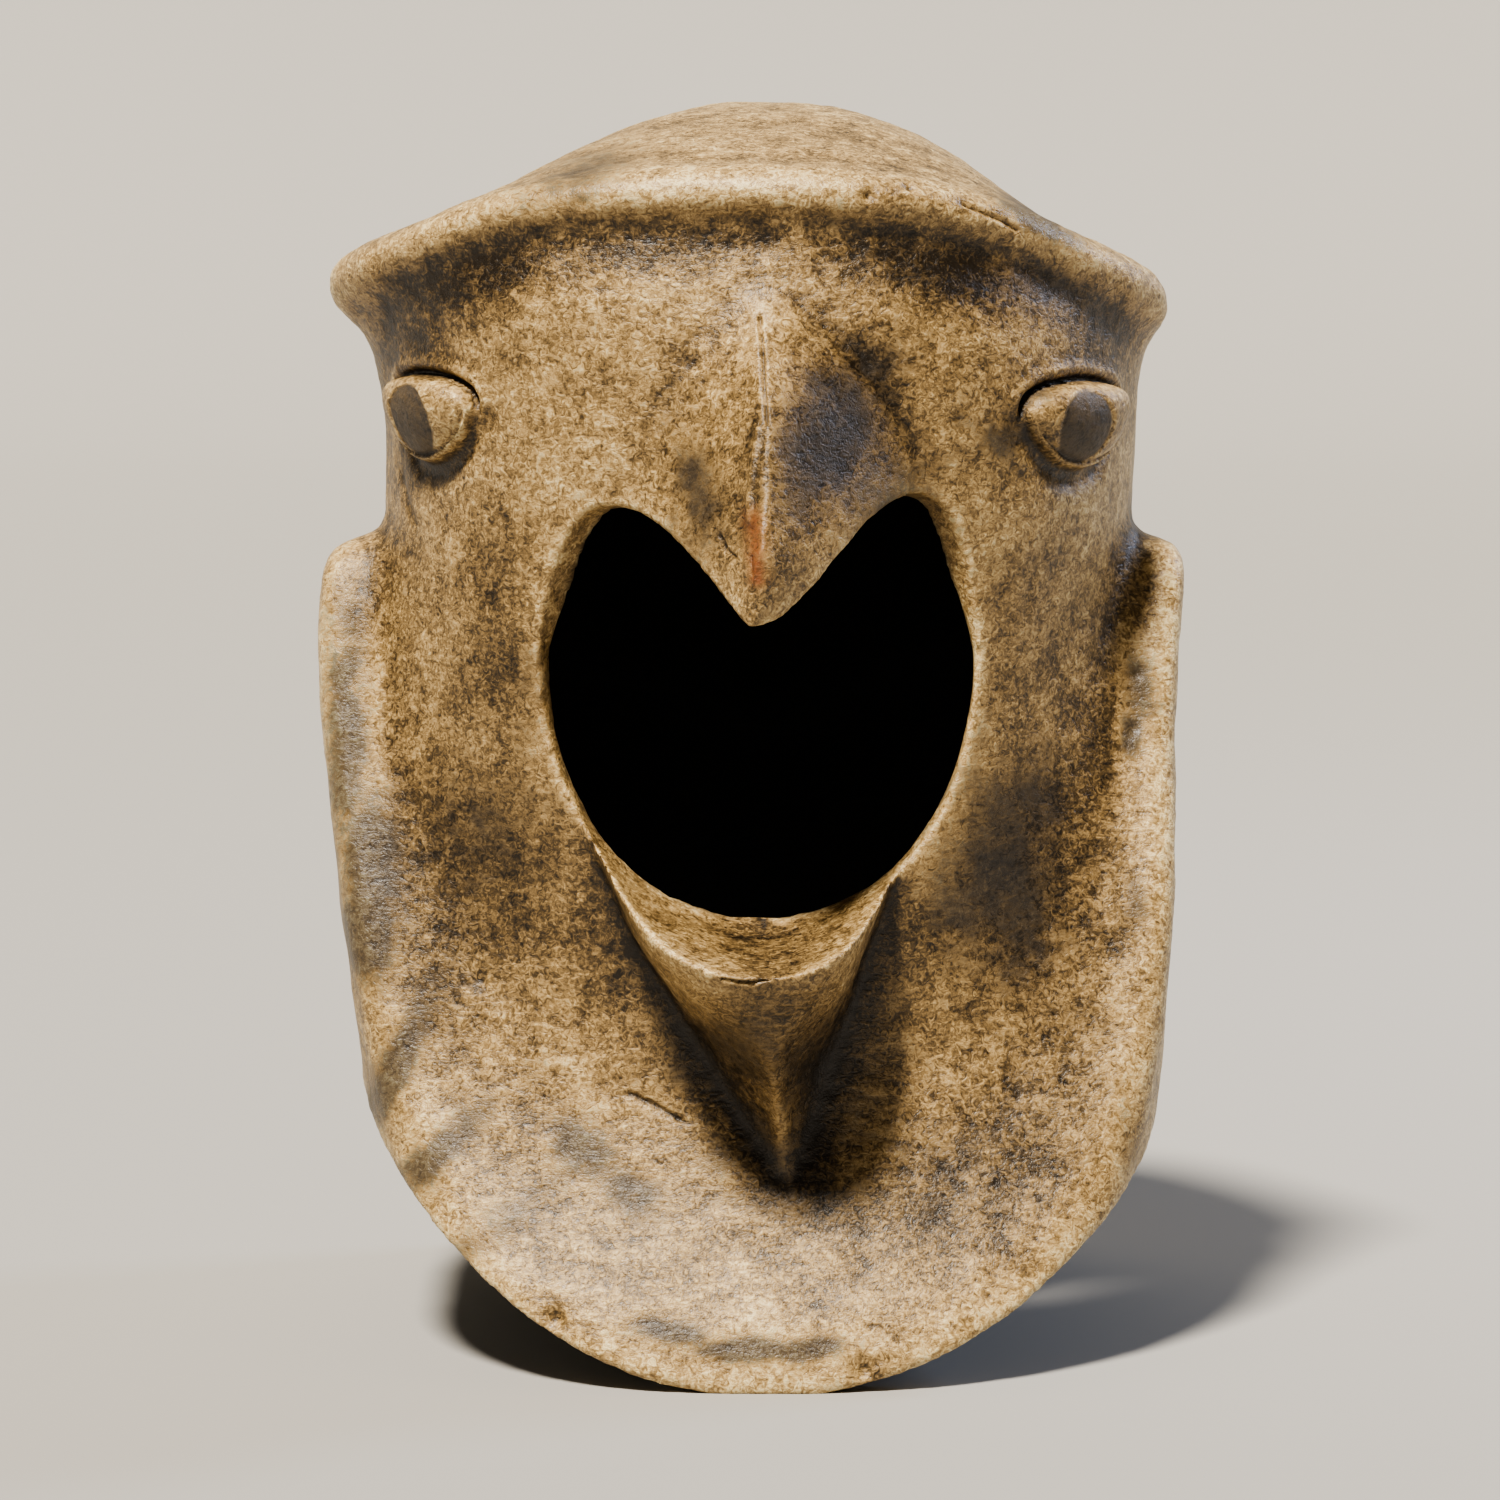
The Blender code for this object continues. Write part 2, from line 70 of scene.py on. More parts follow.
deselect()
bpy.ops.object.camera_add(
    location=(
        look_at[0],
        look_at[1] - view_distance * math.cos(view_tilt),
        look_at[2] + view_distance * math.sin(view_tilt),
    ),
    rotation=(math.pi / 2 - view_tilt, 0, 0),
)
camera = bpy.context.active_object
camera.name = "camera"
camera.data.lens = lens_mm
camera.data.sensor_width = sensor_mm
camera.data.clip_end = 100
bpy.context.scene.camera = camera


def linear(code):
    """Linear colour from an sRGB hex code."""
    parts = [int(code[place : place + 2], 16) / 255 for place in (1, 3, 5)]
    bent = [part / 12.92 if part <= 0.04045 else ((part + 0.055) / 1.055) ** 2.4 for part in parts]
    return (*bent, 1.0)


deselect()
bpy.ops.object.light_add(
    type="AREA", location=(1.5, 0.75, 1.15), rotation=(math.radians(60.5), 0, math.radians(116.5))
)
edge_light = bpy.context.active_object
edge_light.name = "edge_light"
edge_light.data.size = 0.4
edge_light.data.energy = 16
edge_light.data.color = linear("#d5e2ff")[:3]
deselect()
bpy.ops.object.light_add(
    type="SUN", location=(-0.6, -1.6, 2.4), rotation=(math.radians(30), 0, math.radians(-25))
)
key_light = bpy.context.active_object
key_light.name = "key_light"
key_light.data.energy = 7.4
key_light.data.angle = math.radians(9)
key_light.data.color = linear("#fff6ea")[:3]

bpy.context.scene.view_settings.look = "AgX - Medium High Contrast"
studio = bpy.data.worlds.new("studio")
bpy.context.scene.world = studio
studio.use_nodes = True
studio.node_tree.nodes["Background"].inputs["Color"].default_value = linear("#dcdcda")
studio.node_tree.nodes["Background"].inputs["Strength"].default_value = 0.07

# One sheet of pale paper is the floor and rises in a wide curve behind the helmet.
sheet_size = 30
sheet_back = 4.5
sheet_curve = 2.0
sheet_rise = 12
deselect()
bpy.ops.mesh.primitive_plane_add(size=sheet_size, location=(0, sheet_back - sheet_size / 2, 0))
floor = bpy.context.active_object
floor.name = "floor"
bpy.ops.object.transform_apply(location=True, rotation=True, scale=True)
bpy.ops.object.mode_set(mode="EDIT")
bpy.ops.mesh.select_mode(type="EDGE")
bpy.ops.mesh.select_all(action="DESELECT")
sheet = bmesh.from_edit_mesh(floor.data)
for edge in sheet.edges:
    if min(vertex.co.y for vertex in edge.verts) > sheet_back - sheet_curve:
        edge.select_set(True)
bmesh.update_edit_mesh(floor.data)
bpy.ops.mesh.spin(steps=16, angle=math.pi / 2, center=(0, sheet_back, sheet_curve), axis=(-1, 0, 0))
bpy.ops.mesh.extrude_region_move(TRANSFORM_OT_translate={"value": (0, 0, sheet_rise)})
bpy.ops.object.mode_set(mode="OBJECT")
bpy.ops.object.shade_smooth()
paper = bpy.data.materials.new("matt_backdrop_paper")
paper.use_nodes = True
paper.node_tree.nodes["Principled BSDF"].inputs["Base Color"].default_value = linear("#a2a09b")
paper.node_tree.nodes["Principled BSDF"].inputs["Roughness"].default_value = 0.9
floor.data.materials.append(paper)

# Helmet
# One piece of coarse clay, built up by hand round a hollow, joined, scraped and rubbed to a satin
# burnish before an open fire clouded it with smoke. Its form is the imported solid's, drawn finer.
# Main sizes of the helmet
height = 0.386
wall = 0.010
head_half_width = 0.120
cowl_half_width = 0.1345
face_reach = 0.126
bib_reach = 0.144
nape_reach = 0.130

# Crown: how the dome falls towards its rim
crown_back = 0.026 * height
crown_rows_crowding = 1.5
dome_fullness = ((0, 1.4), (45, 1.55), (75, 1.85), (95, 1.65), (130, 0.7), (180, 0.5))
dome_flatness_left = 2.0
dome_flatness_right = 2.5

# Brow, from the middle of the forehead (0 degrees) round to the nape (180 degrees)
brow_top = 0.932 * height
brow_fall = (
    (0, 0.0), (18, 0.003), (37, 0.018), (56, 0.050), (72, 0.076),
    (90, 0.098), (125, 0.181), (180, 0.233),
)
brow_right_fall = 0.010 * height
brow_right_full = 70
brow_right_end = 140
brow_right_fade = 60
brow_reach = (
    (0, 1.033), (30, 1.058), (52, 1.090), (66, 1.118), (74, 1.128),
    (82, 1.085), (98, 1.02), (140, 1.0), (180, 0.954),
)
brow_depth = ((0, 0.018), (37, 0.020), (60, 0.026), (74, 0.030), (90, 0.026), (120, 0.030), (180, 0.045))
brow_undercut = 3.2
brow_roll_start = 0.925
brow_roll = ((0, 0.016), (55, 0.018), (74, 0.023), (88, 0.012), (120, 0.0), (180, 0.0))
brow_dip_start = 0.82
brow_dip = ((0, 0.002), (55, 0.003), (74, 0.013), (88, 0.010), (115, 0.0), (180, 0.0))

# Head, read at shares of the height: its width and reach as shares of the main sizes
head_width = (
    (0.0, 0.97), (0.3, 0.975), (0.6, 0.985), (0.74, 0.99),
    (0.81, 1.0), (0.86, 0.985), (0.9, 0.94), (1.0, 0.85),
)
face_profile = (
    (0.0, 0.79), (0.11, 0.81), (0.19, 0.82), (0.27, 0.85), (0.38, 0.88), (0.48, 0.913),
    (0.58, 0.944), (0.68, 0.984), (0.78, 1.0), (0.85, 0.984), (0.9, 0.944), (0.94, 0.929),
)
nape_profile = ((0.0, 0.93), (0.2, 0.908), (0.42, 0.938), (0.62, 0.977), (0.76, 0.977), (0.9, 0.923))
head_squareness = 2.25
least_slant = 0.5
lean = (
    (0.0, 0.005), (0.2, 0.006), (0.36, 0.001), (0.58, -0.003),
    (0.67, 0.005), (0.8, 0.003), (0.87, -0.006), (1.0, 0.0),
)

# Beak, read from its tip (0) to its root (1)
beak_root_height = 0.855 * height
beak_tip_height = 0.600 * height
beak_top_fade = 0.12
beak_foot = -0.55
beak_foot_fade = 0.35
beak_profile = ((0.0, 1.335), (0.2, 1.345), (0.5, 1.255), (0.75, 1.147), (0.92, 1.04), (1.0, 0.99))
beak_spread = ((0.0, 0.115), (0.3, 0.115), (0.6, 0.096), (0.85, 0.058), (1.0, 0.022))
beak_left_spread = 1.0
beak_right_spread = 1.1
beak_left_pinch = 1.9
beak_right_pinch = 1.2
beak_root_x = 0.008 * height
beak_tip_x = 0.0

# Lower bill, read from its foot in the bib (0) to the level of its tip (1)
bill_tip_height = 0.333 * height
bill_foot_height = 0.155 * height
bill_tip_reach = 1.275
bill_half_width = 0.090 * height
bill_foot_width = 0.08
bill_fullness = 0.9
bill_top = 1.1
bill_fade_start = 1.3
bill_fade_end = 2.0
bill_foot_shape = (1.2, 1.5)
bill_end_shape = (3.0, 1.8)
bill_foot_x = 0.018 * height

# Cowl and bib, read at shares of the height
cowl_width = (
    (0.0, 0.90), (0.16, 0.925), (0.24, 0.94), (0.36, 0.971),
    (0.47, 0.99), (0.57, 1.005), (0.68, 1.005),
)
cowl_squareness = ((0.0, 2.8), (0.15, 3.2), (0.26, 4.2), (0.36, 5.0), (0.68, 5.0))
cowl_left_squareness = ((0.0, 2.8), (0.15, 3.0), (0.26, 3.3), (0.36, 3.3), (0.68, 3.6))
cowl_back_squareness = 2.3
scoop_middle = (
    (0.0, 1.03), (0.03, 0.99), (0.105, 0.86), (0.184, 0.71),
    (0.26, 0.575), (0.38, 0.415), (0.7, 0.14),
)
scoop_side = (
    (0.0, 1.015), (0.06, 0.875), (0.14, 0.743), (0.21, 0.674),
    (0.36, 0.555), (0.47, 0.444), (0.6, 0.333), (0.7, 0.21),
)
shoulder_top = ((0, 0.640), (95, 0.637), (135, 0.58), (180, 0.50))
scoop_width = 1.1
rim_round = 0.012
shoulder_round = 0.014
neck_round = 0.009
trough_round = 0.036
trough_start = 0.21
trough_full = 0.56

# Lower edge: a bow under the bib, raised over the shoulders, and a flatter curve at the nape
edge_middle = 0.002
edge_half_width = 0.1315
edge_width_share = 0.93
edge_squareness = 3.0
bib_edge_rise = 0.112
bib_edge_bend = 1.9
nape_edge_rise = 0.098
nape_edge_bend = 5.0
edge_round = 0.006
foot_depth = 0.0015

# Face opening, seen from the front: its outline at the lining and at the skin
opening_middle = 0.0065 * height
opening_widest = 0.568 * height
opening_bottom = 0.361 * height
lining_bottom_roundness = 2.15
skin_bottom_roundness = 1.8
lip_roundness = 2.0
lining_half_width = 0.0648
skin_half_width = 0.0740
lining_lobe_x = 0.0400
skin_lobe_x = 0.0452
lining_lobe_top = 0.685 * height
skin_lobe_top = 0.693 * height
lining_lobe_bluntness = 1.5
skin_lobe_bluntness = 1.0
lobe_tilt = 0.005 * height
notch_tip = 0.602 * height
notch_rise = 0.078 * height
notch_bend_left = 0.8
notch_bend_right = 1.15
lip_drop = 0.030 * height
opening_back = 0.020
lining_depth = 0.785
skin_depth = 0.915
lip_depth = 1.335
opening_front = 1.65
notch_rise_at_lining = 1.0
notch_rise_in_wall = 0.6
notch_rise_at_skin = 0.4
lip_drop_at_skin = 0.45
lip_drop_in_front = 1.6

# Fineness of the mesh
columns = 600
crown_rows = 100
body_rows = 290
skin_grain = 0.0014
rubbing_rounds = 4
face_fineness = 0.36
back_fineness = 0.17
lining_fineness = 0.06
face_end = 0.003
axis_back = 0.104 * height
front_crowding = 0.35
girth = 2.1 * height
farthest = 0.62 * height
stride = 0.0104 * height
march_steps = 48
halvings = 8
lining_rounds = 12
opening_points = 72


def through(stations, place):
    """Smooth curve through (place, size) stations, read at a place or an array of them."""
    places, sizes = np.array(stations, dtype=float).T
    slopes = np.gradient(sizes, places)
    place = np.clip(place, places[0], places[-1])
    left = np.clip(np.searchsorted(places, place) - 1, 0, len(places) - 2)
    span = places[left + 1] - places[left]
    t = (place - places[left]) / span
    start, end = sizes[left], sizes[left + 1]
    bend_in = (t - 1) ** 2 * t * span * slopes[left]
    bend_out = (t - 1) * t**2 * span * slopes[left + 1]
    return start + (end - start) * t**2 * (3 - 2 * t) + bend_in + bend_out


def ease(share):
    """Goes from 0 to 1 with level ends."""
    share = np.clip(share, 0.0, 1.0)
    return share**2 * (3 - 2 * share)


def join(one, other, radius):
    """Greater of two depths in the clay, with a fillet between them."""
    share = np.clip(0.5 + 0.5 * (one - other) / radius, 0.0, 1.0)
    return other + (one - other) * share + radius * share * (1 - share)


def trim(one, other, radius):
    """Lesser of two depths in the clay, with a rounded edge between them."""
    return -join(-one, -other, radius)


def oval(angle, half_width, half_depth, squareness):
    """Radius of a squared oval at an angle from the front."""
    across = (np.abs(np.sin(angle)) / half_width) ** squareness
    along = (np.abs(np.cos(angle)) / half_depth) ** squareness
    return (across + along) ** (-1 / squareness)


def rightness(angle):
    """0 on the left side of the head, 1 on its right side."""
    return ease(0.5 + 0.5 * np.sin(angle))


def brow_line(angle):
    """Height of the brow's crest round the head, a little lower on the right."""
    turn = np.abs(np.degrees(angle))
    right = ease(np.degrees(angle) / brow_right_full) * ease((brow_right_end - turn) / brow_right_fade)
    return brow_top - height * through(brow_fall, turn) - brow_right_fall * right


def brow_radius(angle):
    """Radius of the brow's crest round the head."""
    behind = ease(-np.cos(angle))
    size = head_half_width + (nape_reach - head_half_width) * behind
    return size * through(brow_reach, np.abs(np.degrees(angle)))


def beak_relief(x, z, reach):
    """How far the beak stands out of the face."""
    share = (z - beak_tip_height) / (beak_root_height - beak_tip_height)
    ridge_x = beak_tip_x + (beak_root_x - beak_tip_x) * np.clip(share, 0, 1)
    right = ease(0.5 + (x - ridge_x) / wall)
    spread = beak_left_spread + (beak_right_spread - beak_left_spread) * right
    pinch = beak_left_pinch + (beak_right_pinch - beak_left_pinch) * right
    side = np.abs(x - ridge_x) / (height * spread * through(beak_spread, share))
    rise = np.maximum(face_reach * through(beak_profile, share) - reach, 0)
    top = ease((1 + beak_top_fade / 2 - share) / beak_top_fade)
    foot = ease((share - beak_foot) / beak_foot_fade)
    return top * foot * rise * np.clip(1 - side, 0, 1) ** pinch


def bill_relief(x, z, reach):
    """How far the lower bill stands out: a keel below, which widens to a blunt end at the lip."""
    share = np.clip((z - bill_foot_height) / (bill_tip_height - bill_foot_height), 0, bill_fade_end)
    fade = ease((bill_fade_end - share) / (bill_fade_end - bill_fade_start))
    half_width = bill_half_width * (bill_foot_width + (1 - bill_foot_width) * share)
    share = np.minimum(share, bill_top)
    keel_x = bill_foot_x * (1 - share)
    side = np.clip(np.abs(x - keel_x) / half_width, 0, 1)
    rise = (face_reach * bill_tip_reach - reach) * share**bill_fullness
    end = ease(2 * share - 1)
    bluntness = bill_foot_shape[0] + (bill_end_shape[0] - bill_foot_shape[0]) * end
    skirt = bill_foot_shape[1] + (bill_end_shape[1] - bill_foot_shape[1]) * end
    return fade * rise * (1 - side**bluntness) ** skirt


def plain_head_radius(angle, z):
    """Radius of the head before brow, beak, bill and eyes are put on it."""
    level = z / height
    face, nape = face_reach * through(face_profile, level), nape_reach * through(nape_profile, level)
    depth = np.where(np.cos(angle) > 0, face, nape)
    return oval(angle, head_half_width * through(head_width, level), depth, head_squareness)


def head_radius(angle, z):
    """Outer radius of the head with brow, beak and bill."""
    radius = plain_head_radius(angle, z)
    reach = face_reach * through(face_profile, z / height)
    depth = height * through(brow_depth, np.abs(np.degrees(angle)))
    below = np.maximum(brow_line(angle) - z, 0) / depth
    radius = radius + np.maximum(brow_radius(angle) - radius, 0) / (1 + below**brow_undercut)
    x = radius * np.sin(angle)
    front = np.maximum(np.cos(angle), least_slant)
    relief = beak_relief(x, z, reach) + bill_relief(x, z, reach)
    return radius + relief * (np.cos(angle) > 0) / front


def cowl_depth(x, forward, z):
    """Depth inside the cowl, which is scooped out in front."""
    angle = np.arctan2(x, forward)
    level = z / height
    half_width = cowl_half_width * through(cowl_width, level)
    left, right = through(cowl_left_squareness, level), through(cowl_squareness, level)
    in_front = forward > 0
    squareness = np.where(in_front, np.where(x < 0, left, right), cowl_back_squareness)
    radius = oval(angle, half_width, np.where(in_front, bib_reach, nape_reach), squareness)
    side = np.clip(np.abs(x) / half_width, 0, scoop_width) ** 2
    middle = through(scoop_middle, level)
    scoop = bib_reach * (middle + (through(scoop_side, level) - middle) * side)
    body = trim(radius - np.hypot(x, forward), scoop - forward, rim_round)
    top = height * through(shoulder_top, np.abs(np.degrees(angle)))
    return trim(body, top - z, shoulder_round)


def ray_angle(angle, radius):
    """Angle of a point of the head at the axis of the mesh's rays, which stands behind the head's own."""
    return np.arctan2(radius * np.sin(angle), radius * np.cos(angle) + axis_back)


def lower_edge(rays):
    """Height of the helmet's lower edge round the head."""
    angle = np.linspace(-math.pi, math.pi, 4 * columns)
    depth = np.where(np.cos(angle) > 0, bib_reach, nape_reach)
    radius = oval(angle, edge_width_share * cowl_half_width, depth, edge_squareness)
    out = np.clip(np.abs(radius * np.sin(angle) - edge_middle) / edge_half_width, 0, 1)
    bib = bib_edge_rise * (1 - (1 - out**bib_edge_bend) ** (1 / bib_edge_bend))
    nape = nape_edge_rise * out**nape_edge_bend
    edge = nape + (bib - nape) * ease(np.cos(angle) + 0.5) - foot_depth
    return np.interp(rays, ray_angle(angle, radius), edge)


def clay_depth(x, forward, z, edge, head_form):
    """Depth of a point inside the clay form, less than zero in the open air."""
    head = head_form(np.arctan2(x, forward), z) - np.hypot(x, forward)
    trough = ease((forward / bib_reach - trough_start) / (trough_full - trough_start))
    form = join(head, cowl_depth(x, forward, z), neck_round + (trough_round - neck_round) * trough)
    return trim(form, z - edge + edge_round / 4, edge_round)


def ray_lengths(angles, levels, edge, head_form):
    """Marches in from outside, then halves the step, until each ray from the axis meets the clay."""
    sine, cosine = np.sin(angles), np.cos(angles)

    def inside(radii):
        return clay_depth(radii * sine, radii * cosine - axis_back, levels, edge, head_form) > 0

    radii = np.full(levels.shape, farthest)
    for _ in range(march_steps):
        radii = np.where(inside(radii), radii, radii - stride)
    step = stride
    for _ in range(halvings):
        step /= 2
        radii = np.where(inside(radii + step), radii + step, radii)
    return radii


def inner_radii(radii):
    """The hollow's radii: the least radius close by, which passes the cowl's rim, less the wall."""
    reach_rows = max(1, round(wall * body_rows / height))
    reach_columns = max(1, round(wall * columns / girth))
    least = radii
    for shift in range(-reach_columns, reach_columns + 1):
        least = np.minimum(least, np.roll(radii, shift, axis=1))
    padded = np.pad(least, ((reach_rows, reach_rows), (0, 0)), mode="edge")
    least = np.min([padded[row : row + len(radii)] for row in range(2 * reach_rows + 1)], axis=0)
    for _ in range(lining_rounds):
        padded = np.pad(least, ((1, 1), (0, 0)), mode="edge")
        rows = (padded[:-2] + padded[1:-1] + padded[2:]) / 3
        least = (np.roll(rows, 1, axis=1) + rows + np.roll(rows, -1, axis=1)) / 3
    return least - wall


def placed(radii, angles, levels):
    """Points at these radii from the axis, as x, y and z."""
    return np.stack([radii * np.sin(angles), axis_back - radii * np.cos(angles), levels], axis=-1)


def crown(rim_radii, angles, rim_levels, shape, top):
    """Rows of points from the top of the crown down to the brow, which rolls over at its edge."""
    fullness, flatness, roll, dip = shape
    share = 1 - (1 - np.linspace(0, 1, crown_rows + 1)[1:-1, None]) ** crown_rows_crowding
    fall = 1 - (1 - share**flatness) ** fullness
    dipped = dip * (ease((share - brow_dip_start) / (brow_roll_start - brow_dip_start)) - fall)
    over = np.clip((share - brow_roll_start) / (1 - brow_roll_start), 0, 1)
    rolled = roll * (np.sqrt(1 - over**2) - 1)
    levels = top - (top - rim_levels - roll) * fall + dipped + rolled
    points = placed(rim_radii * share, angles, levels)
    points[..., 1] += (crown_back - axis_back) * (1 - share)
    return points


def closed_mesh(name, rows, top, bottom):
    """Closes rows of points, each a ring seen counter-clockwise from above, with a point at each end."""
    count = rows.shape[1]
    vertices = [tuple(point) for point in rows.reshape(-1, 3)] + [top, bottom]
    faces = []
    for row in range(len(rows) - 1):
        for column in range(count):
            after = (column + 1) % count
            upper, lower = row * count, (row + 1) * count
            faces.append((upper + column, lower + column, lower + after, upper + after))
    last = (len(rows) - 1) * count
    for column in range(count):
        after = (column + 1) % count
        faces.append((len(vertices) - 2, column, after))
        faces.append((last + column, len(vertices) - 1, last + after))
    mesh = bpy.data.meshes.new(name)
    mesh.from_pydata(vertices, [], faces)
    mesh.validate()
    return mesh


def shell_mesh():
    """The whole shell before its face is opened: down the outside, up the inside."""
    turn = np.linspace(-math.pi, math.pi, columns, endpoint=False)
    head_angles = turn - front_crowding * np.sin(turn)
    degrees = np.abs(np.degrees(head_angles))
    angles = ray_angle(head_angles, brow_radius(head_angles))
    crest, edge = brow_line(head_angles), lower_edge(angles)
    fullness = through(dome_fullness, degrees)
    flatness = dome_flatness_left + (dome_flatness_right - dome_flatness_left) * rightness(head_angles)
    roll, dip = height * through(brow_roll, degrees), height * through(brow_dip, degrees)
    share = np.linspace(0, 1, body_rows)[:, None]
    levels = crest - (crest - edge) * share
    outer = ray_lengths(angles, levels, edge, head_radius)
    inner = inner_radii(ray_lengths(angles, levels, edge, plain_head_radius))
    lining_crest, lining_top = crest - wall, height - wall
    lining_levels = lining_crest - (lining_crest - edge) * share
    outer_crown = crown(outer[0], angles, crest, (fullness, flatness, roll, dip), height)
    lining_crown = crown(inner[0], angles, lining_crest, (fullness, flatness, 0, 0), lining_top)
    outside = [outer_crown, placed(outer, angles, levels)]
    inside = [lining_crown, placed(inner, angles, lining_levels)]
    rows = np.concatenate(outside + [np.concatenate(inside)[::-1]])
    rows[..., 0] += height * through(lean, rows[..., 2] / height)
    ends = [(0.0, crown_back, top) for top in (height, lining_top)]
    return closed_mesh("helmet", rows, *ends)


def opening_outline(half_width, lobe, bluntness, notch, low):
    """The heart shaped face opening as x and z, from its greatest width round by the right lobe."""
    (lobe_across, lobe_top), (bottom, roundness) = lobe, low
    turn = np.linspace(0, math.pi, opening_points, endpoint=False)
    side_x = lobe_across + (half_width - lobe_across) * np.cos(turn / 2) ** bluntness
    side_z = opening_widest + (lobe_top - opening_widest) * np.sin(turn / 2) ** bluntness
    inner_x = lobe_across * (1 - turn / math.pi)
    climb = ease(inner_x / lobe_across)
    halves = []
    for side, bend in ((1, notch_bend_right), (-1, notch_bend_left)):
        inner_z = notch + (lobe_top - notch) * climb**bend
        xs, zs = np.concatenate([side_x, inner_x]), np.concatenate([side_z, inner_z])
        halves.append(np.stack([side * xs, zs], axis=-1))
    power = 2 / roundness
    low_x = half_width * np.sign(np.cos(turn)) * np.abs(np.cos(turn)) ** power
    low_z = opening_widest - (opening_widest - bottom) * np.sin(turn) ** power
    under = np.stack([low_x, low_z], axis=-1)[::-1]
    outline = np.concatenate([halves[0], [[0.0, notch]], halves[1][:0:-1], under])
    above = np.clip((outline[:, 1] - opening_widest) / (lobe_top - opening_widest), 0, 1)
    nearness = np.clip(1 - np.abs(outline[:, 0]) / lobe_across, 0, 1) * (above > 0)
    shift = opening_middle + (beak_tip_x - opening_middle) * nearness
    tilt = lobe_tilt * above * outline[:, 0] / lobe_across
    return outline + np.stack([shift, tilt], axis=-1)


def opening_cutter():
    """A loft of hearts, wider at the skin than at the lining, whose floor slopes down to the lip."""
    lining = (lining_half_width, (lining_lobe_x, lining_lobe_top), lining_lobe_bluntness)
    skin = (skin_half_width, (skin_lobe_x, skin_lobe_top), skin_lobe_bluntness)
    steps = (
        (-opening_back, lining, notch_rise_at_lining, 0.0, lining_bottom_roundness),
        (lining_depth * face_reach, lining, notch_rise_in_wall, 0.0, lining_bottom_roundness),
        (skin_depth * face_reach, skin, notch_rise_at_skin, lip_drop_at_skin, skin_bottom_roundness),
        (lip_depth * face_reach, skin, 0.0, 1.0, lip_roundness),
        (opening_front * face_reach, skin, 0.0, lip_drop_in_front, lip_roundness),
    )
    rows = []
    for forward, (half_width, lobe, bluntness), rise, drop, roundness in steps:
        notch, low = notch_tip + rise * notch_rise, (opening_bottom - drop * lip_drop, roundness)
        outline = opening_outline(half_width, lobe, bluntness, notch, low)
        rows.append([(x, -forward, z) for x, z in outline])
    middle_z = (opening_widest + opening_bottom) / 2
    ends = [(opening_middle, -steps[0][0], middle_z), (opening_middle, -steps[-1][0], middle_z)]
    return closed_mesh("opening_cutter", np.array(rows), *ends)


def put(mesh):
    """An object for this mesh, with its faces turned outwards."""
    shape = bmesh.new()
    shape.from_mesh(mesh)
    bmesh.ops.recalc_face_normals(shape, faces=shape.faces)
    shape.to_mesh(mesh)
    shape.free()
    body = bpy.data.objects.new(mesh.name, mesh)
    bpy.context.scene.collection.objects.link(body)
    return body


def read(mesh, group, name, width):
    """One property of all the mesh's points or edges, as rows of numbers."""
    items = getattr(mesh, group)
    kind = np.int32 if name == "vertices" else np.float32
    values = np.empty(len(items) * width, dtype=kind)
    items.foreach_get(name, values)
    return values.reshape(-1, width) if width > 1 else values


shell = shell_mesh()
corners = read(shell, "vertices", "co", 3).astype(float)
centre = (corners.min(axis=0) + corners.max(axis=0)) / 2
helmet = put(shell)
helmet.name = "burnished_helmet"
opening = put(opening_cutter())
gape = helmet.modifiers.new("face opening", "BOOLEAN")
gape.operation = "DIFFERENCE"
gape.solver = "EXACT"
gape.object = opening
skin = helmet.modifiers.new("worked clay", "REMESH")
skin.mode = "VOXEL"
skin.voxel_size = skin_grain
rub = helmet.modifiers.new("rubbed edges", "SMOOTH")
rub.factor = 0.5
rub.iterations = rubbing_rounds
deselect()
bpy.context.view_layer.objects.active = helmet
helmet.select_set(True)
for name in [modifier.name for modifier in helmet.modifiers]:
    bpy.ops.object.modifier_apply(modifier=name)
bpy.data.objects.remove(opening)

spots = read(helmet.data, "vertices", "co", 3).astype(float)
spots[:, 0] -= centre[0]
spots[:, 1] -= centre[1]
helmet.data.vertices.foreach_set("co", spots.ravel().astype(np.float32))
helmet.data.update()

# Wall, lining and face of the shell
# The lining was left plain and is coloured near black, soot-dark clay and painted shade for the unlit
# hollow;
# the nape was finished less closely than the face. At the gape the dark lining starts in the wall's cut,
# elsewhere where the surface turns inwards.
crown_level = 0.33
skull_middle = 0.55 * height
dark_lining_start = 0.72 * wall
dark_lining_blend = 0.25 * wall
gape_reach = (0.088, -0.045, 0.105, 0.285)


def polar(points):
    """Angle and distance from the head's upright axis, which stands a little behind the middle."""
    ahead = -centre[1] - points[:, 1]
    side = points[:, 0] + centre[0] - height * through(lean, points[:, 2] / height)
    return np.arctan2(side, ahead), np.hypot(side, ahead)


def lining_share(points, normals):
    """How far each point belongs to the dark lining: 0 on the outside, 1 on the inside."""
    angle, distance = polar(points)
    depth = plain_head_radius(angle, points[:, 2]) - distance
    cut_wall = ease((depth - dark_lining_start) / dark_lining_blend)
    from_axis = points - np.array([0, axis_back - centre[1], skull_middle])
    from_axis[:, 2] *= points[:, 2] > crown_level
    turned_in = ((from_axis * normals).sum(axis=1) < 0).astype(float)
    half_width, front, low, high = gape_reach
    gape_side = (np.abs(points[:, 0]) < half_width) & (points[:, 1] < front)
    at_gape = gape_side & (points[:, 2] > low) & (points[:, 2] < high)
    return np.where(at_gape, cut_wall, turned_in)


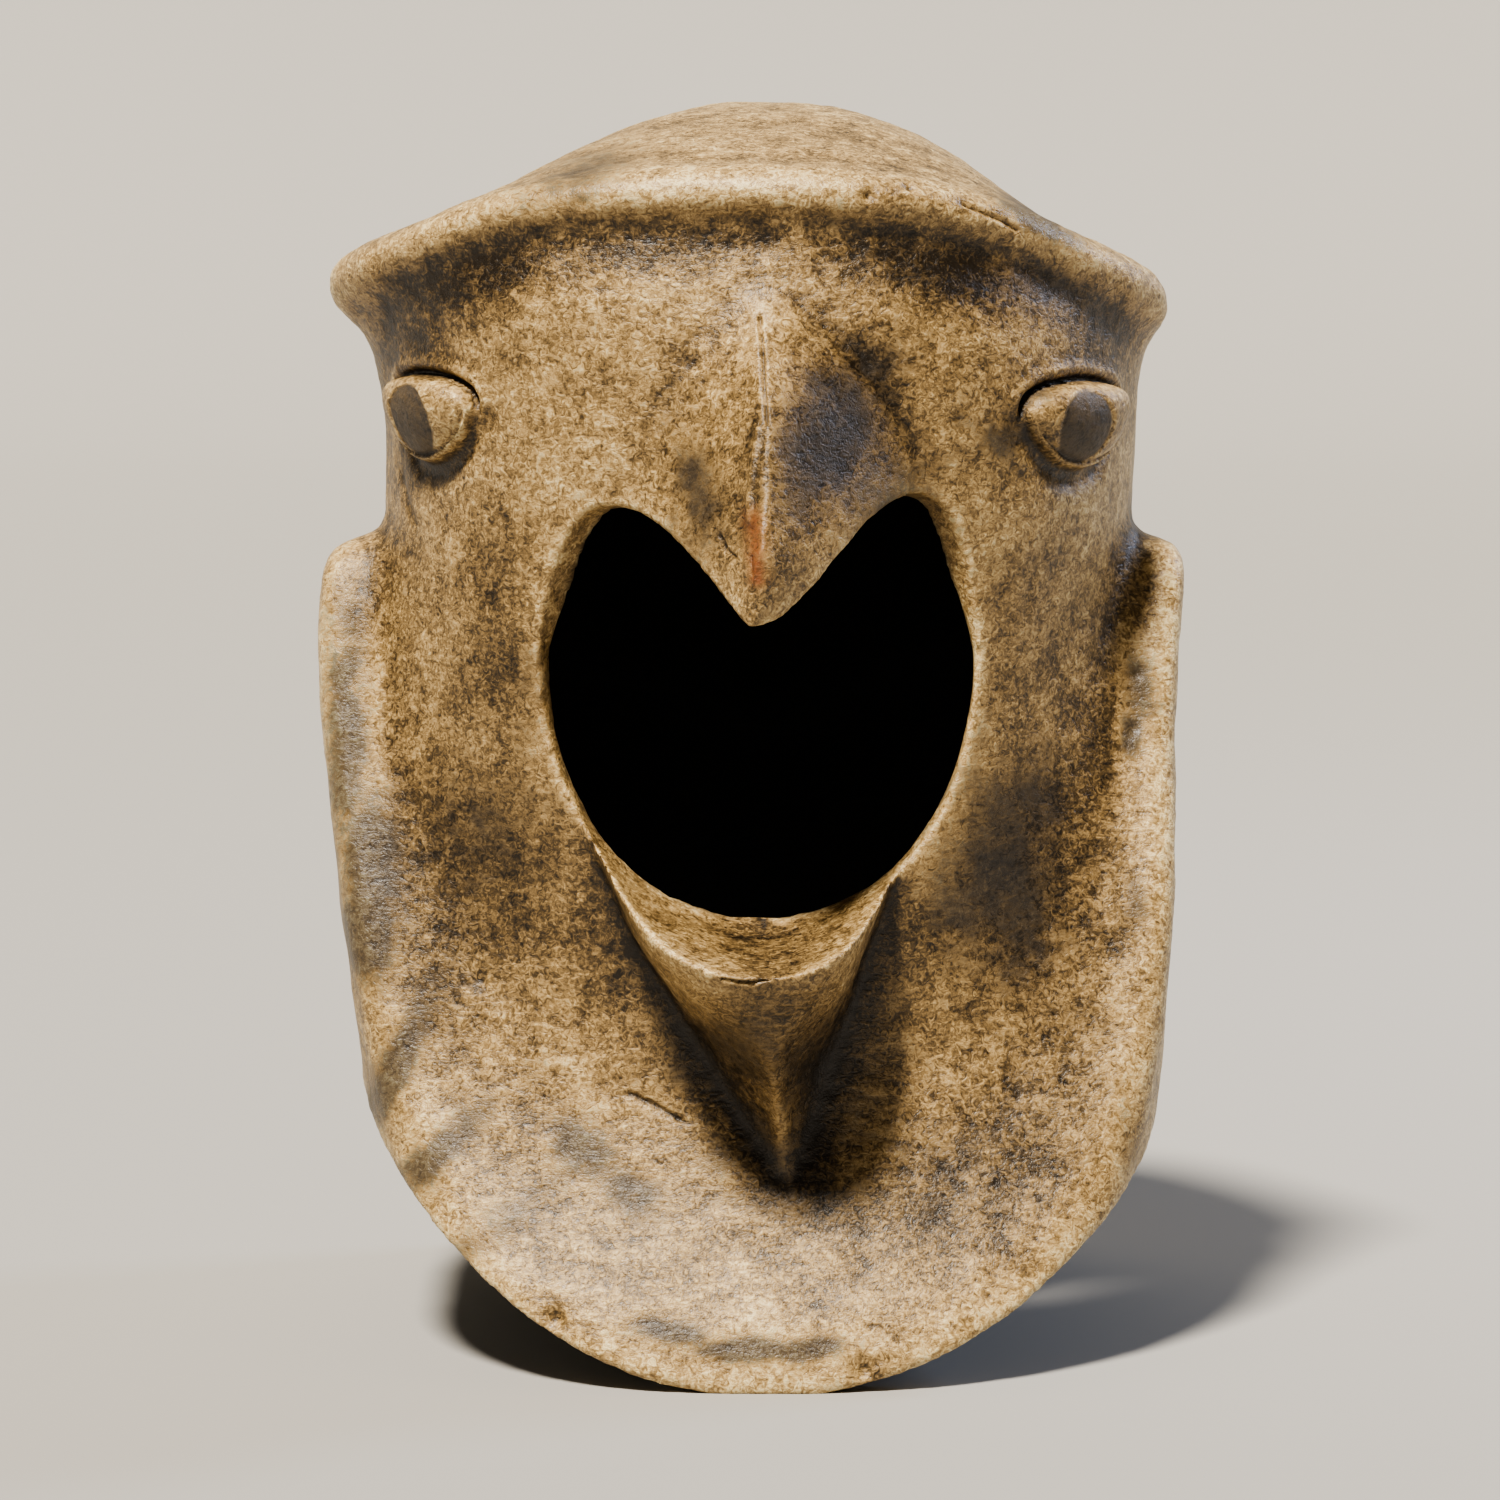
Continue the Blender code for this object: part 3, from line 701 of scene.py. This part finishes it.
def thin_faces(chosen, ratio):
    """Collapses the chosen points' faces to this share of their number."""
    deselect()
    helmet.select_set(True)
    bpy.context.view_layer.objects.active = helmet
    bpy.ops.object.mode_set(mode="EDIT")
    bpy.ops.mesh.select_mode(type="VERT")
    bpy.ops.mesh.select_all(action="DESELECT")
    bpy.ops.object.mode_set(mode="OBJECT")
    helmet.data.vertices.foreach_set("select", chosen)
    bpy.ops.object.mode_set(mode="EDIT")
    bpy.ops.mesh.decimate(ratio=ratio)
    bpy.ops.object.mode_set(mode="OBJECT")


def divide(chosen):
    """Halves the edges of the faces whose points are chosen, for finer carving there."""
    shape = bmesh.new()
    shape.from_mesh(helmet.data)
    shape.verts.ensure_lookup_table()
    edges = [edge for edge in shape.edges if chosen[edge.verts[0].index] and chosen[edge.verts[1].index]]
    bmesh.ops.subdivide_edges(shape, edges=edges, cuts=1, use_grid_fill=True, smooth=0.6)
    bmesh.ops.triangulate(shape, faces=[face for face in shape.faces if len(face.verts) > 3])
    shape.to_mesh(helmet.data)
    shape.free()


for side, fineness in (("lining", lining_fineness), ("back", back_fineness)):
    points = read(helmet.data, "vertices", "co", 3).astype(float)
    normals = read(helmet.data, "vertex_normals", "vector", 3).astype(float)
    inside = lining_share(points, normals) > 0.5
    outside = lining_share(points, normals) < 0.5
    chosen = {"lining": inside, "back": (points[:, 1] > 0.0) & outside}
    thin_faces(chosen[side], fineness)

# Eyes
# Each is a ball of clay pressed on the side of the head: a groove cut over it for the upper lid, a
# thin raised lower lid, and a flat rough pupil, darkened by the fire.
eye_places = ((-1, math.radians(53.6), 0.2946, 0.0248), (1, math.radians(50.2), 0.2929, 0.0262))
eye_half_tall = 0.0128
eye_corner_lift = 0.0045
eye_roundness = 1.9
eye_ball = 0.0078
eye_tip_up = 0.35
eye_step = 0.0022
eye_step_start = 0.0002
eye_step_width = 0.0018
eye_lids_blend = 0.005
lower_lid_fade = 0.6
eye_surround = 0.02
eye_zone_drop = 0.004
eye_zone_squeeze = 1.5
head_skin = 0.095
eye_spared = 0.009
face_back = 0.03
pupil_radius = 0.0114
pupil_edge = 0.0014
pupil_depth = 0.0007
pupil_places = ((-1, math.radians(53.0), 0.2893), (1, math.radians(47.6), 0.2878))
# Rises that follow an eye's edge: height, distance outside the edge, width, and the half they are on
eye_rings = {
    "upper lid's groove": (-0.0026, 0.0008, 0.0011, "above"),
    "lower lid": (0.0016, 0.0, 0.0007, "below"),
    "crease inside the lower lid": (-0.0009, -0.0015, 0.0008, "below"),
    "hollow under the eye": (-0.0016, 0.0050, 0.0035, "below"),
    "swell over the groove": (0.0008, 0.0042, 0.0022, "above"),
}


def eye_form(points, place):
    """Rise of one eye over the cheek, from its side, angle, corner height and half length."""
    side, middle_angle, corner, half_length = place
    angle, distance = polar(points)
    along = (side * angle - middle_angle) * distance
    share = along / half_length
    across = points[:, 2] - corner + eye_corner_lift * (1 - np.clip(share**2, 0, 1))
    squared = np.abs(share) ** eye_roundness + np.abs(across / eye_half_tall) ** eye_roundness
    ring = np.maximum(squared ** (1 / eye_roundness), 1e-4)
    off = np.hypot(along, across) * (1 - 1 / ring)
    above = ease(across / eye_lids_blend + 0.5)
    below = (1 - above) * (1 - lower_lid_fade * np.clip(share**2, 0, 1) ** 3)
    ball = eye_ball * (1 + eye_tip_up * across / eye_half_tall) * np.sqrt(np.clip(1 - ring**2, 0, 1))
    step = eye_step * (1 - ease((off - eye_step_start) / eye_step_width)) * np.where(off > 0, below, 1.0)
    form = ball + step
    for rise, middle, width, half in eye_rings.values():
        form += rise * np.exp(-(((off - middle) / width) ** 2)) * (above if half == "above" else below)
    near = (side * angle > 0) & (off < eye_surround) & (points[:, 1] < face_back)
    return np.where(near, form, 0.0)


def pupil_share(points):
    """1 in the flat dark pupils, 0 outside them."""
    share = np.zeros(len(points))
    for side, middle_angle, level in pupil_places:
        angle, distance = polar(points)
        away = np.hypot((side * angle - middle_angle) * distance, points[:, 2] - level)
        disc = 1 - ease((away - pupil_radius) / pupil_edge + 0.5)
        share = np.maximum(share, np.where(side * angle > 0, disc, 0))
    return share


def eye_zone(points, reach):
    """The points within this reach of an eye's middle, on the outside of the head."""
    chosen = np.zeros(len(points), dtype=bool)
    for side, middle_angle, corner, half_length in eye_places:
        angle, distance = polar(points)
        along = (side * angle - middle_angle) * distance
        across = (points[:, 2] - corner + eye_zone_drop) * eye_zone_squeeze
        close = np.hypot(along, across) < half_length + reach
        chosen |= close & (side * angle > 0) & (distance > head_skin)
    return chosen


# The clay round the eyes keeps its full fineness, and the rest of the face is thinned.
points = read(helmet.data, "vertices", "co", 3).astype(float)
thin_faces((points[:, 1] < face_end) & ~eye_zone(points, eye_spared), face_fineness)
deselect()
helmet.select_set(True)
bpy.ops.object.mode_set(mode="EDIT")
bpy.ops.mesh.select_all(action="SELECT")
bpy.ops.mesh.quads_convert_to_tris()
bpy.ops.object.mode_set(mode="OBJECT")


# Beak, lip and the marks of the maker and of wear
# A thin crack runs down the beak's ridge, the clay along it is rubbed bright, and chips, gouges and
# pits mark the brow, the lip, the bib and the rim. Each line is a chain of (x, z) points.
beak_crack = ((0.0026, 0.3225), (0.0034, 0.3120), (0.0036, 0.3020), (0.0044, 0.2925))
beak_ridge = ((0.0024, 0.2905), (0.0012, 0.2800), (-0.0004, 0.2705), (-0.0006, 0.2640))
beak_hairline = ((0.0, 0.2540), (0.0006, 0.2440), (0.0004, 0.2350))
beak_nick = ((-0.0092, 0.2590), (-0.0075, 0.2550), (-0.0050, 0.2535))
lip_crease = ((-0.0085, 0.1283), (-0.0035, 0.1274), (0.0005, 0.1270), (0.0053, 0.1283))
brow_crack = ((0.0640, 0.3560), (0.0700, 0.3530), (0.0760, 0.3505), (0.0800, 0.3478))
bib_gouge = ((-0.0370, 0.0855), (-0.0300, 0.0826), (-0.0215, 0.0780))
cheek_crease = ((-0.1087, 0.2705), (-0.1065, 0.2640), (-0.1041, 0.2567))
# Each chain with its rise and its half width
lines = (
    (beak_crack, -0.0014, 0.0007),
    (beak_ridge, 0.0010, 0.0009),
    (beak_hairline, -0.0006, 0.0005),
    (beak_nick, -0.0009, 0.0007),
    (lip_crease, -0.0012, 0.0006),
    (brow_crack, -0.0011, 0.0008),
    (bib_gouge, -0.0013, 0.0010),
    (cheek_crease, -0.0007, 0.0010),
)
# Pits and chips: x, y, z, radius and depth
pits = (
    (0.0352, -0.0996, 0.3580, 0.0022, 0.0020),
    (0.0472, -0.0934, 0.3605, 0.0018, 0.0018),
    (0.0415, -0.0960, 0.3590, 0.0012, 0.0012),
    (-0.0502, -0.0956, 0.3561, 0.0016, 0.0008),
    (-0.0594, -0.1125, 0.0213, 0.0030, 0.0022),
    (0.0337, -0.1210, 0.0071, 0.0034, 0.0020),
    (-0.0828, -0.0705, 0.1182, 0.0028, 0.0010),
    (0.0120, -0.1260, 0.1330, 0.0020, 0.0014),
    (0.0060, -0.1280, 0.1325, 0.0014, 0.0010),
    (0.1204, -0.0340, 0.2097, 0.0016, 0.0009),
    (0.1189, -0.0396, 0.1928, 0.0018, 0.0010),
)
pit_surround = 1.5
carving_reaches = ((0.006, 0.0035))
hand_wobble = 0.0005
clay_grit = 0.00022
# Waves a metre, how they dull, how each finer layer steps, and the layers
wobble_waves = (55, 1.0, 2.0, 3)
grit_waves = (260, 0.8, 2.1, 3)


def line_distance(points, chain):
    """Distance of each point from a chain of (x, z) points, seen from the front."""
    flat = points[:, (0, 2)]
    nearest = np.full(len(points), 1.0)
    for start, end in zip(np.array(chain[:-1]), np.array(chain[1:])):
        run = end - start
        share = np.clip((flat - start) @ run / (run @ run), 0, 1)
        nearest = np.minimum(nearest, np.linalg.norm(flat - start - share[:, None] * run, axis=1))
    return nearest


def marks_zone(points, reach):
    """The outside points close to a line or a pit."""
    chosen = np.zeros(len(points), dtype=bool)
    for chain, rise, width in lines:
        chosen |= line_distance(points, chain) < width + reach
    for x, y, z, radius, rise in pits:
        chosen |= np.linalg.norm(points - (x, y, z), axis=1) < pit_surround * radius + reach
    return chosen & (points[:, 1] < 0.0)


def outside_front(points):
    """True on the outer skin in front, where the marks are."""
    normals = read(helmet.data, "vertex_normals", "vector", 3)
    return (lining_share(points, normals) < 0.5) & (points[:, 1] < face_back) & (normals[:, 1] < 0.35)


def uneven(points, waves, dulling, step, layers):
    """Cloudy unevenness at each point, about -1 to 1."""
    return np.array([noise.fractal(Vector(point) * waves, dulling, step, layers) for point in points])


for reach in carving_reaches:
    points = read(helmet.data, "vertices", "co", 3).astype(float)
    carved = marks_zone(points, reach / 3)
    if reach == carving_reaches[0]:
        carved |= eye_zone(points, reach)
    divide(carved & outside_front(points))

points = read(helmet.data, "vertices", "co", 3).astype(float)
normals = read(helmet.data, "vertex_normals", "vector", 3).astype(float)
outer = outside_front(points)
angle, distance = polar(points)
rise = np.zeros(len(points))
for place in eye_places:
    rise += eye_form(points, place)
rise -= pupil_depth * pupil_share(points)
outward = np.stack([np.sin(angle), -np.cos(angle), np.zeros(len(angle))], axis=1)
push = (normals + 2 * outward) / np.linalg.norm(normals + 2 * outward, axis=1)[:, None]
moved = points + push * (rise * outer)[:, None]
cut = np.zeros(len(points))
for chain, lift, width in lines:
    cut += lift * np.exp(-((line_distance(points, chain) / width) ** 2))
for x, y, z, radius, lift in pits:
    cut -= lift * np.exp(-((np.linalg.norm(points - (x, y, z), axis=1) / radius) ** 2))
cut = cut * outer + hand_wobble * uneven(points, *wobble_waves) + clay_grit * uneven(points, *grit_waves)
moved += normals * cut[:, None]
moved[:, 2] = np.maximum(moved[:, 2], 0.0)
low, high = np.array(cad_box[0]), np.array(cad_box[1])
moved = np.clip(moved, low, high)
helmet.data.vertices.foreach_set("co", moved.ravel().astype(np.float32))
helmet.data.update()
deselect()
helmet.select_set(True)
bpy.ops.object.shade_smooth()

# Worn edges, smoke, dirt and painted shade
# Raised edges are rubbed pale. Hollows are darkened brown, dirt in the fine creases and painted shade in
# the broad hollows, under the brow, beside the opening and under the bill. An open fire left grey and black
# clouds, mostly on the left rim, beside the opening and under the beak; the grey on the beak's right flank,
# under the right brow and under the bill is painted shade.
ends = read(helmet.data, "edges", "vertices", 2)
points = read(helmet.data, "vertices", "co", 3).astype(float)
normals = read(helmet.data, "vertex_normals", "vector", 3).astype(float)
count = len(points)
links = np.bincount(ends.ravel(), minlength=count)


def spread(values, rounds):
    """Evens values out over neighbouring points."""
    for _ in range(rounds):
        total = values.copy()
        for column in range(values.shape[1]):
            total[:, column] += np.bincount(ends[:, 0], values[ends[:, 1], column], count)
            total[:, column] += np.bincount(ends[:, 1], values[ends[:, 0], column], count)
        values = total / (1 + links)[:, None]
    return values


def attribute(name, values):
    """Keeps one number for each point, for the clay's material to read."""
    layer = helmet.data.attributes.new(name, "FLOAT", "POINT")
    layer.data.foreach_set("value", np.asarray(values, dtype=np.float32))


# For each width of bend: rounds of evening, then height and share for worn edges and for the darkened
# hollows, dirt in the fine ones and painted shade in the broad ones
bends = (
    (6, 0.0005, 0.5, 0.0004, 0.5),
    (60, 0.0025, 0.5, 0.0022, 0.4),
    (240, 1.0, 0.0, 0.0060, 0.25),
)
worn, dirt_and_painted_shade = np.zeros(count), np.zeros(count)
for rounds, edge_height, edge_share, hollow_depth, hollow_share in bends:
    bend = ((points - spread(points, rounds)) * normals).sum(axis=1)
    worn += np.clip(bend / edge_height, 0, 1) * edge_share
    dirt_and_painted_shade += np.clip(-bend / hollow_depth, 0, 1) * hollow_share
# The cowl's two side rims are rubbed pale and get little of the dirt and painted shade
rim_side = 0.110
rim_side_blend = 0.006
rim_bottom = 0.13
rim_bottom_blend = 0.05
rim_top = 0.236
rim_top_blend = 0.02
on_rim = ease((np.abs(points[:, 0]) - rim_side) / rim_side_blend)
on_rim *= ease((points[:, 2] - rim_bottom) / rim_bottom_blend)
on_rim *= ease((rim_top - points[:, 2]) / rim_top_blend)
dirt_and_painted_shade *= 1 - 0.8 * on_rim
worn += 0.5 * on_rim
# Clouds of painted shade seen from the front, under the brow, on the temples, in the troughs beside the
# opening, on the beak's right flank and under the bill: x, z, half width, half height, turn and strength.
painted_shade_places = (
    (-0.078, 0.212, 0.012, 0.034, 0.0, 0.9), (-0.082, 0.158, 0.026, 0.028, 0.2, 1.0),
    (0.082, 0.212, 0.010, 0.034, 0.0, 0.45), (0.086, 0.150, 0.024, 0.034, -0.2, 0.9),
    (0.014, 0.064, 0.013, 0.016, 0.0, 1.2), (0.064, 0.062, 0.034, 0.020, 0.2, 0.7),
    (-0.105, 0.314, 0.010, 0.012, 0.0, 1.0), (-0.086, 0.331, 0.026, 0.008, 0.30, 1.5),
    (0.062, 0.333, 0.032, 0.009, -0.20, 1.5), (0.104, 0.318, 0.012, 0.010, 0.0, 0.8),
    (-0.030, 0.342, 0.030, 0.005, 0.12, 0.8), (0.023, 0.285, 0.018, 0.030, -0.5, 1.3),
    (0.012, 0.256, 0.010, 0.020, -0.4, 0.8), (-0.100, 0.272, 0.010, 0.007, 0.0, 1.0),
    (0.012, 0.104, 0.030, 0.032, 0.0, 0.9), (-0.044, 0.128, 0.014, 0.020, 0.8, 0.5),
    (0.046, 0.128, 0.014, 0.022, -0.8, 0.8), (-0.006, 0.260, 0.020, 0.020, 0.0, 0.35),
    (0.060, 0.286, 0.040, 0.030, 0.0, 0.25),
)
# Smoke clouds in the same columns. Those on the beak's right flank, under the right brow and under the bill
# are painted shade.
smoke_and_painted_shade_places = (
    (-0.126, 0.190, 0.006, 0.036, 0.0, 1.4), (-0.118, 0.152, 0.008, 0.017, 0.0, 1.8),
    (-0.118, 0.131, 0.008, 0.013, 0.0, 1.8), (-0.110, 0.090, 0.005, 0.030, -0.45, 1.3),
    (-0.096, 0.066, 0.005, 0.022, -0.8, 1.2), (-0.080, 0.045, 0.005, 0.030, -0.95, 0.7),
    (-0.051, 0.069, 0.010, 0.007, -0.6, 1.3),
    (-0.037, 0.056, 0.009, 0.006, -0.6, 1.1), (-0.024, 0.018, 0.009, 0.003, -0.2, 1.7),
    (0.000, 0.013, 0.013, 0.0032, 0.0, 1.7), (0.017, 0.013, 0.009, 0.0028, 0.15, 1.6),
    (0.076, 0.152, 0.013, 0.034, 0.25, 0.95), (0.063, 0.144, 0.009, 0.018, 0.3, 0.8),
    (0.088, 0.173, 0.008, 0.016, 0.2, 0.7), (0.121, 0.205, 0.005, 0.011, 0.2, 1.1),
    (0.118, 0.191, 0.003, 0.006, 0.0, 1.5), (0.119, 0.140, 0.004, 0.008, 0.0, 0.9),
    (0.120, 0.060, 0.004, 0.030, 0.3, 0.4), (0.088, 0.350, 0.013, 0.004, -0.5, 1.5),
    (0.091, 0.329, 0.013, 0.006, -0.3, 0.7), (-0.052, 0.364, 0.017, 0.006, 0.4, 0.9),
    (0.076, 0.285, 0.009, 0.005, 0.0, 0.9), (0.086, 0.297, 0.009, 0.003, 0.3, 0.6),
    (0.024, 0.290, 0.012, 0.022, -0.5, 1.0), (0.042, 0.268, 0.014, 0.014, -0.6, 0.8),
    (-0.016, 0.272, 0.006, 0.016, 0.2, 1.0), (-0.020, 0.258, 0.004, 0.008, 0.4, 0.6),
    (-0.085, 0.168, 0.015, 0.018, 0.0, 0.45), (-0.062, 0.205, 0.010, 0.016, 0.0, 0.4),
    (0.063, 0.291, 0.002, 0.0015, 0.0, 1.4), (0.030, 0.060, 0.030, 0.008, 0.3, 0.3),
    (0.000, 0.104, 0.018, 0.016, 0.0, 0.6), (0.022, 0.090, 0.016, 0.026, 0.4, 0.6),
    (0.004, 0.070, 0.016, 0.012, 0.0, 0.5), (-0.020, 0.100, 0.010, 0.022, -0.5, 0.35),
)
ragged_waves = (120, 0.9, 2.0, 4)
cloud_falloff = 0.8
painted_shade_strength = 0.75
back_smoke = 0.55
back_smoke_start = 0.02
back_smoke_blend = 0.05
smoke_raggedness = 0.35
rust_run = ((0.001, 0.2650), (0.002, 0.2480))
rust_half_width = 0.0042


def clouds_at(places):
    """Strongest of these soft clouds at each point."""
    strongest = np.zeros(count)
    for x, z, half_width, half_height, turn, strength in places:
        side, up = points[:, 0] - x, points[:, 2] - z
        across = (side * math.cos(turn) + up * math.sin(turn)) / half_width
        along = (up * math.cos(turn) - side * math.sin(turn)) / half_height
        strongest = np.maximum(strongest, strength * np.exp(-(across**2 + along**2) * cloud_falloff))
    return strongest


ragged = uneven(points, *ragged_waves)
faces_front = np.clip((0.6 - normals[:, 1]) / 0.4, 0, 1) * (points[:, 1] < face_back)
# Painted shade: darker clouds under the brow, beside the opening, on the beak's right flank and under the
# bill
dirt_and_painted_shade += painted_shade_strength * clouds_at(painted_shade_places) * faces_front
behind = back_smoke * ease((points[:, 1] - back_smoke_start) / back_smoke_blend)
# Fire smoke, with painted shade on the beak's right flank, under the right brow and under the bill
smoke_and_painted_shade = clouds_at(smoke_and_painted_shade_places) * faces_front + behind * ease(ragged * 1.6 - 0.25)
rust = np.exp(-(line_distance(points, rust_run) / rust_half_width) ** 2) * faces_front
attribute("worn_edges", worn)
attribute("dirt_and_painted_shade", dirt_and_painted_shade)
attribute("smoke_and_painted_shade", smoke_and_painted_shade + smoke_raggedness * smoke_and_painted_shade * ragged)
attribute("rust", rust)
# The lining's near-black is soot-dark clay and painted shade for the unlit hollow
attribute("soot_and_painted_shade", spread(lining_share(points, normals)[:, None], 2)[:, 0])
attribute("pupil", pupil_share(points) * faces_front)

# Burnished earthenware
# Low-fired clay rubbed with a pebble while leather-hard, which gives the eye a satin sheen over a
# fine pebbly and fibrous mottling of cream, tan and brown.


def node(tree, kind, settings=None, links=None):
    """Adds a node: settings are its own properties or socket values, links feed its sockets."""
    added = tree.nodes.new(kind)
    for name, value in (settings or {}).items():
        if isinstance(name, str) and name not in added.inputs:
            setattr(added, name, value)
        else:
            added.inputs[name].default_value = value
    for name, source in (links or {}).items():
        tree.links.new(source, added.inputs[name])
    return added


clay = bpy.data.materials.new("burnished_earthenware")
clay.use_nodes = True
tree = clay.node_tree
shader = tree.nodes["Principled BSDF"]
shader.inputs["IOR"].default_value = 1.5
place = node(tree, "ShaderNodeTexCoord").outputs["Object"]
stroke_turn = (0.0, 0.7, 0.0)
even = (1.0, 1.0, 1.0)
# Size in millimetres, detail, roughness, distortion and stretch of each kind of mottling. The grog,
# of about half a millimetre, is too fine to show, so its pebbles are drawn 2 mm wide and its specks
# 0.9 mm. Strokes of the rubbing pebble are 4 mm wide, fire blotches 10 mm and clouds 59 mm.
mottling = {
    "pebbles": (2.0833, 3.0, 0.66, 1.4, even),
    "strokes": (3.84615, 4.0, 0.62, 1.2, (0.5, 1.0, 1.6)),
    "blotches": (10.5263, 6.0, 0.70, 0.8, even),
    "clouds": (58.8235, 3.0, 0.55, 0.0, even),
    "specks": (0.90909, 2.0, 0.60, 0.0, even),
}
sources = {}
for name, (size_mm, detail, roughness, distortion, stretch) in mottling.items():
    mapped = node(tree, "ShaderNodeMapping", {"Scale": stretch, "Rotation": stroke_turn}, {"Vector": place})
    settings = {"Scale": 1000 / size_mm, "Detail": detail, "Roughness": roughness, "Distortion": distortion}
    cloudy = node(tree, "ShaderNodeTexNoise", settings, {"Vector": mapped.outputs["Vector"]})
    sources[name] = cloudy.outputs["Fac"]
for name in ("worn_edges", "dirt_and_painted_shade", "smoke_and_painted_shade", "rust", "soot_and_painted_shade", "pupil"):
    sources[name] = node(tree, "ShaderNodeAttribute", {"attribute_name": name}).outputs["Fac"]

# Each result is a base and weighted shares of the sources, kept from 0 to 1, within a share or a limit
results = (
    # The tone darkens with dirt in the fine creases and with painted shade in the broad hollows and clouds
    ("tone", -1.185, (
        ("pebbles", 1.55), ("strokes", 0.7), ("blotches", 0.75), ("clouds", 0.45),
        ("worn_edges", 0.26), ("dirt_and_painted_shade", -0.46),
    ), 1.0),
    # Smoke colour, partly painted shade
    ("smoke_and_painted_shade_cover", -3.6, (("smoke_and_painted_shade", 1.5), ("pebbles", 3.0), ("blotches", 3.3)), 0.8),
    ("rusty", -1.05, (("rust", 0.7), ("pebbles", 2.1)), "rust"),
    ("dark_pupil", -1.02, (("pupil", 0.85), ("pebbles", 1.02), ("blotches", 1.02)), "pupil"),
    ("roughness", 0.235, (("pebbles", 0.35), ("dark_pupil", 0.15), ("soot_and_painted_shade", 0.45)), 1.0),
    ("relief", 0.0, (("pebbles", 0.44), ("strokes", 0.37), ("specks", 0.19)), 1.0),
)
for name, total, shares, limit in results:
    for source, weight in shares:
        settings = {"operation": "MULTIPLY_ADD", 1: weight}
        links = {0: sources[source]}
        (settings if isinstance(total, float) else links)[2] = total
        total = node(tree, "ShaderNodeMath", settings, links).outputs[0]
    settings = {"operation": "MULTIPLY"}
    links = {0: node(tree, "ShaderNodeClamp", {}, {"Value": total}).outputs[0]}
    (settings if isinstance(limit, float) else links)[1] = sources.get(limit, limit)
    sources[name] = node(tree, "ShaderNodeMath", settings, links).outputs[0]

ramp = node(tree, "ShaderNodeValToRGB", {}, {"Fac": sources["tone"]})
clay_tones = ((0.0, "#20180d"), (0.27, "#524127"), (0.5, "#866d45"), (0.74, "#b99c6a"), (1.0, "#ead6a4"))
ramp.color_ramp.elements[0].color = linear(clay_tones[0][1])
ramp.color_ramp.elements[1].color = linear(clay_tones[-1][1])
for position, code in clay_tones[1:-1]:
    ramp.color_ramp.elements.new(position).color = linear(code)
colour = ramp.outputs["Color"]
# The smoke colour is partly painted shade
stains_and_painted_shade = (("rusty", "#7c4520"), ("smoke_and_painted_shade_cover", "#2b2825"), ("dark_pupil", "#37312b"), ("soot_and_painted_shade", "#0e0c0a"))
# The lining's near-black colour is partly painted shade
for name, code in stains_and_painted_shade:
    layer = {"data_type": "RGBA", 7: linear(code)}
    colour = node(tree, "ShaderNodeMix", layer, {0: sources[name], 6: colour}).outputs[2]
tree.links.new(colour, shader.inputs["Base Color"])
tree.links.new(sources["roughness"], shader.inputs["Roughness"])
grain_height = 0.00135
relief = {"Strength": 0.6, "Distance": grain_height}
grainy = node(tree, "ShaderNodeBump", relief, {"Height": sources["relief"]})
tree.links.new(grainy.outputs["Normal"], shader.inputs["Normal"])
helmet.data.materials.append(clay)
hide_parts("helmet")
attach(helmet, "root")
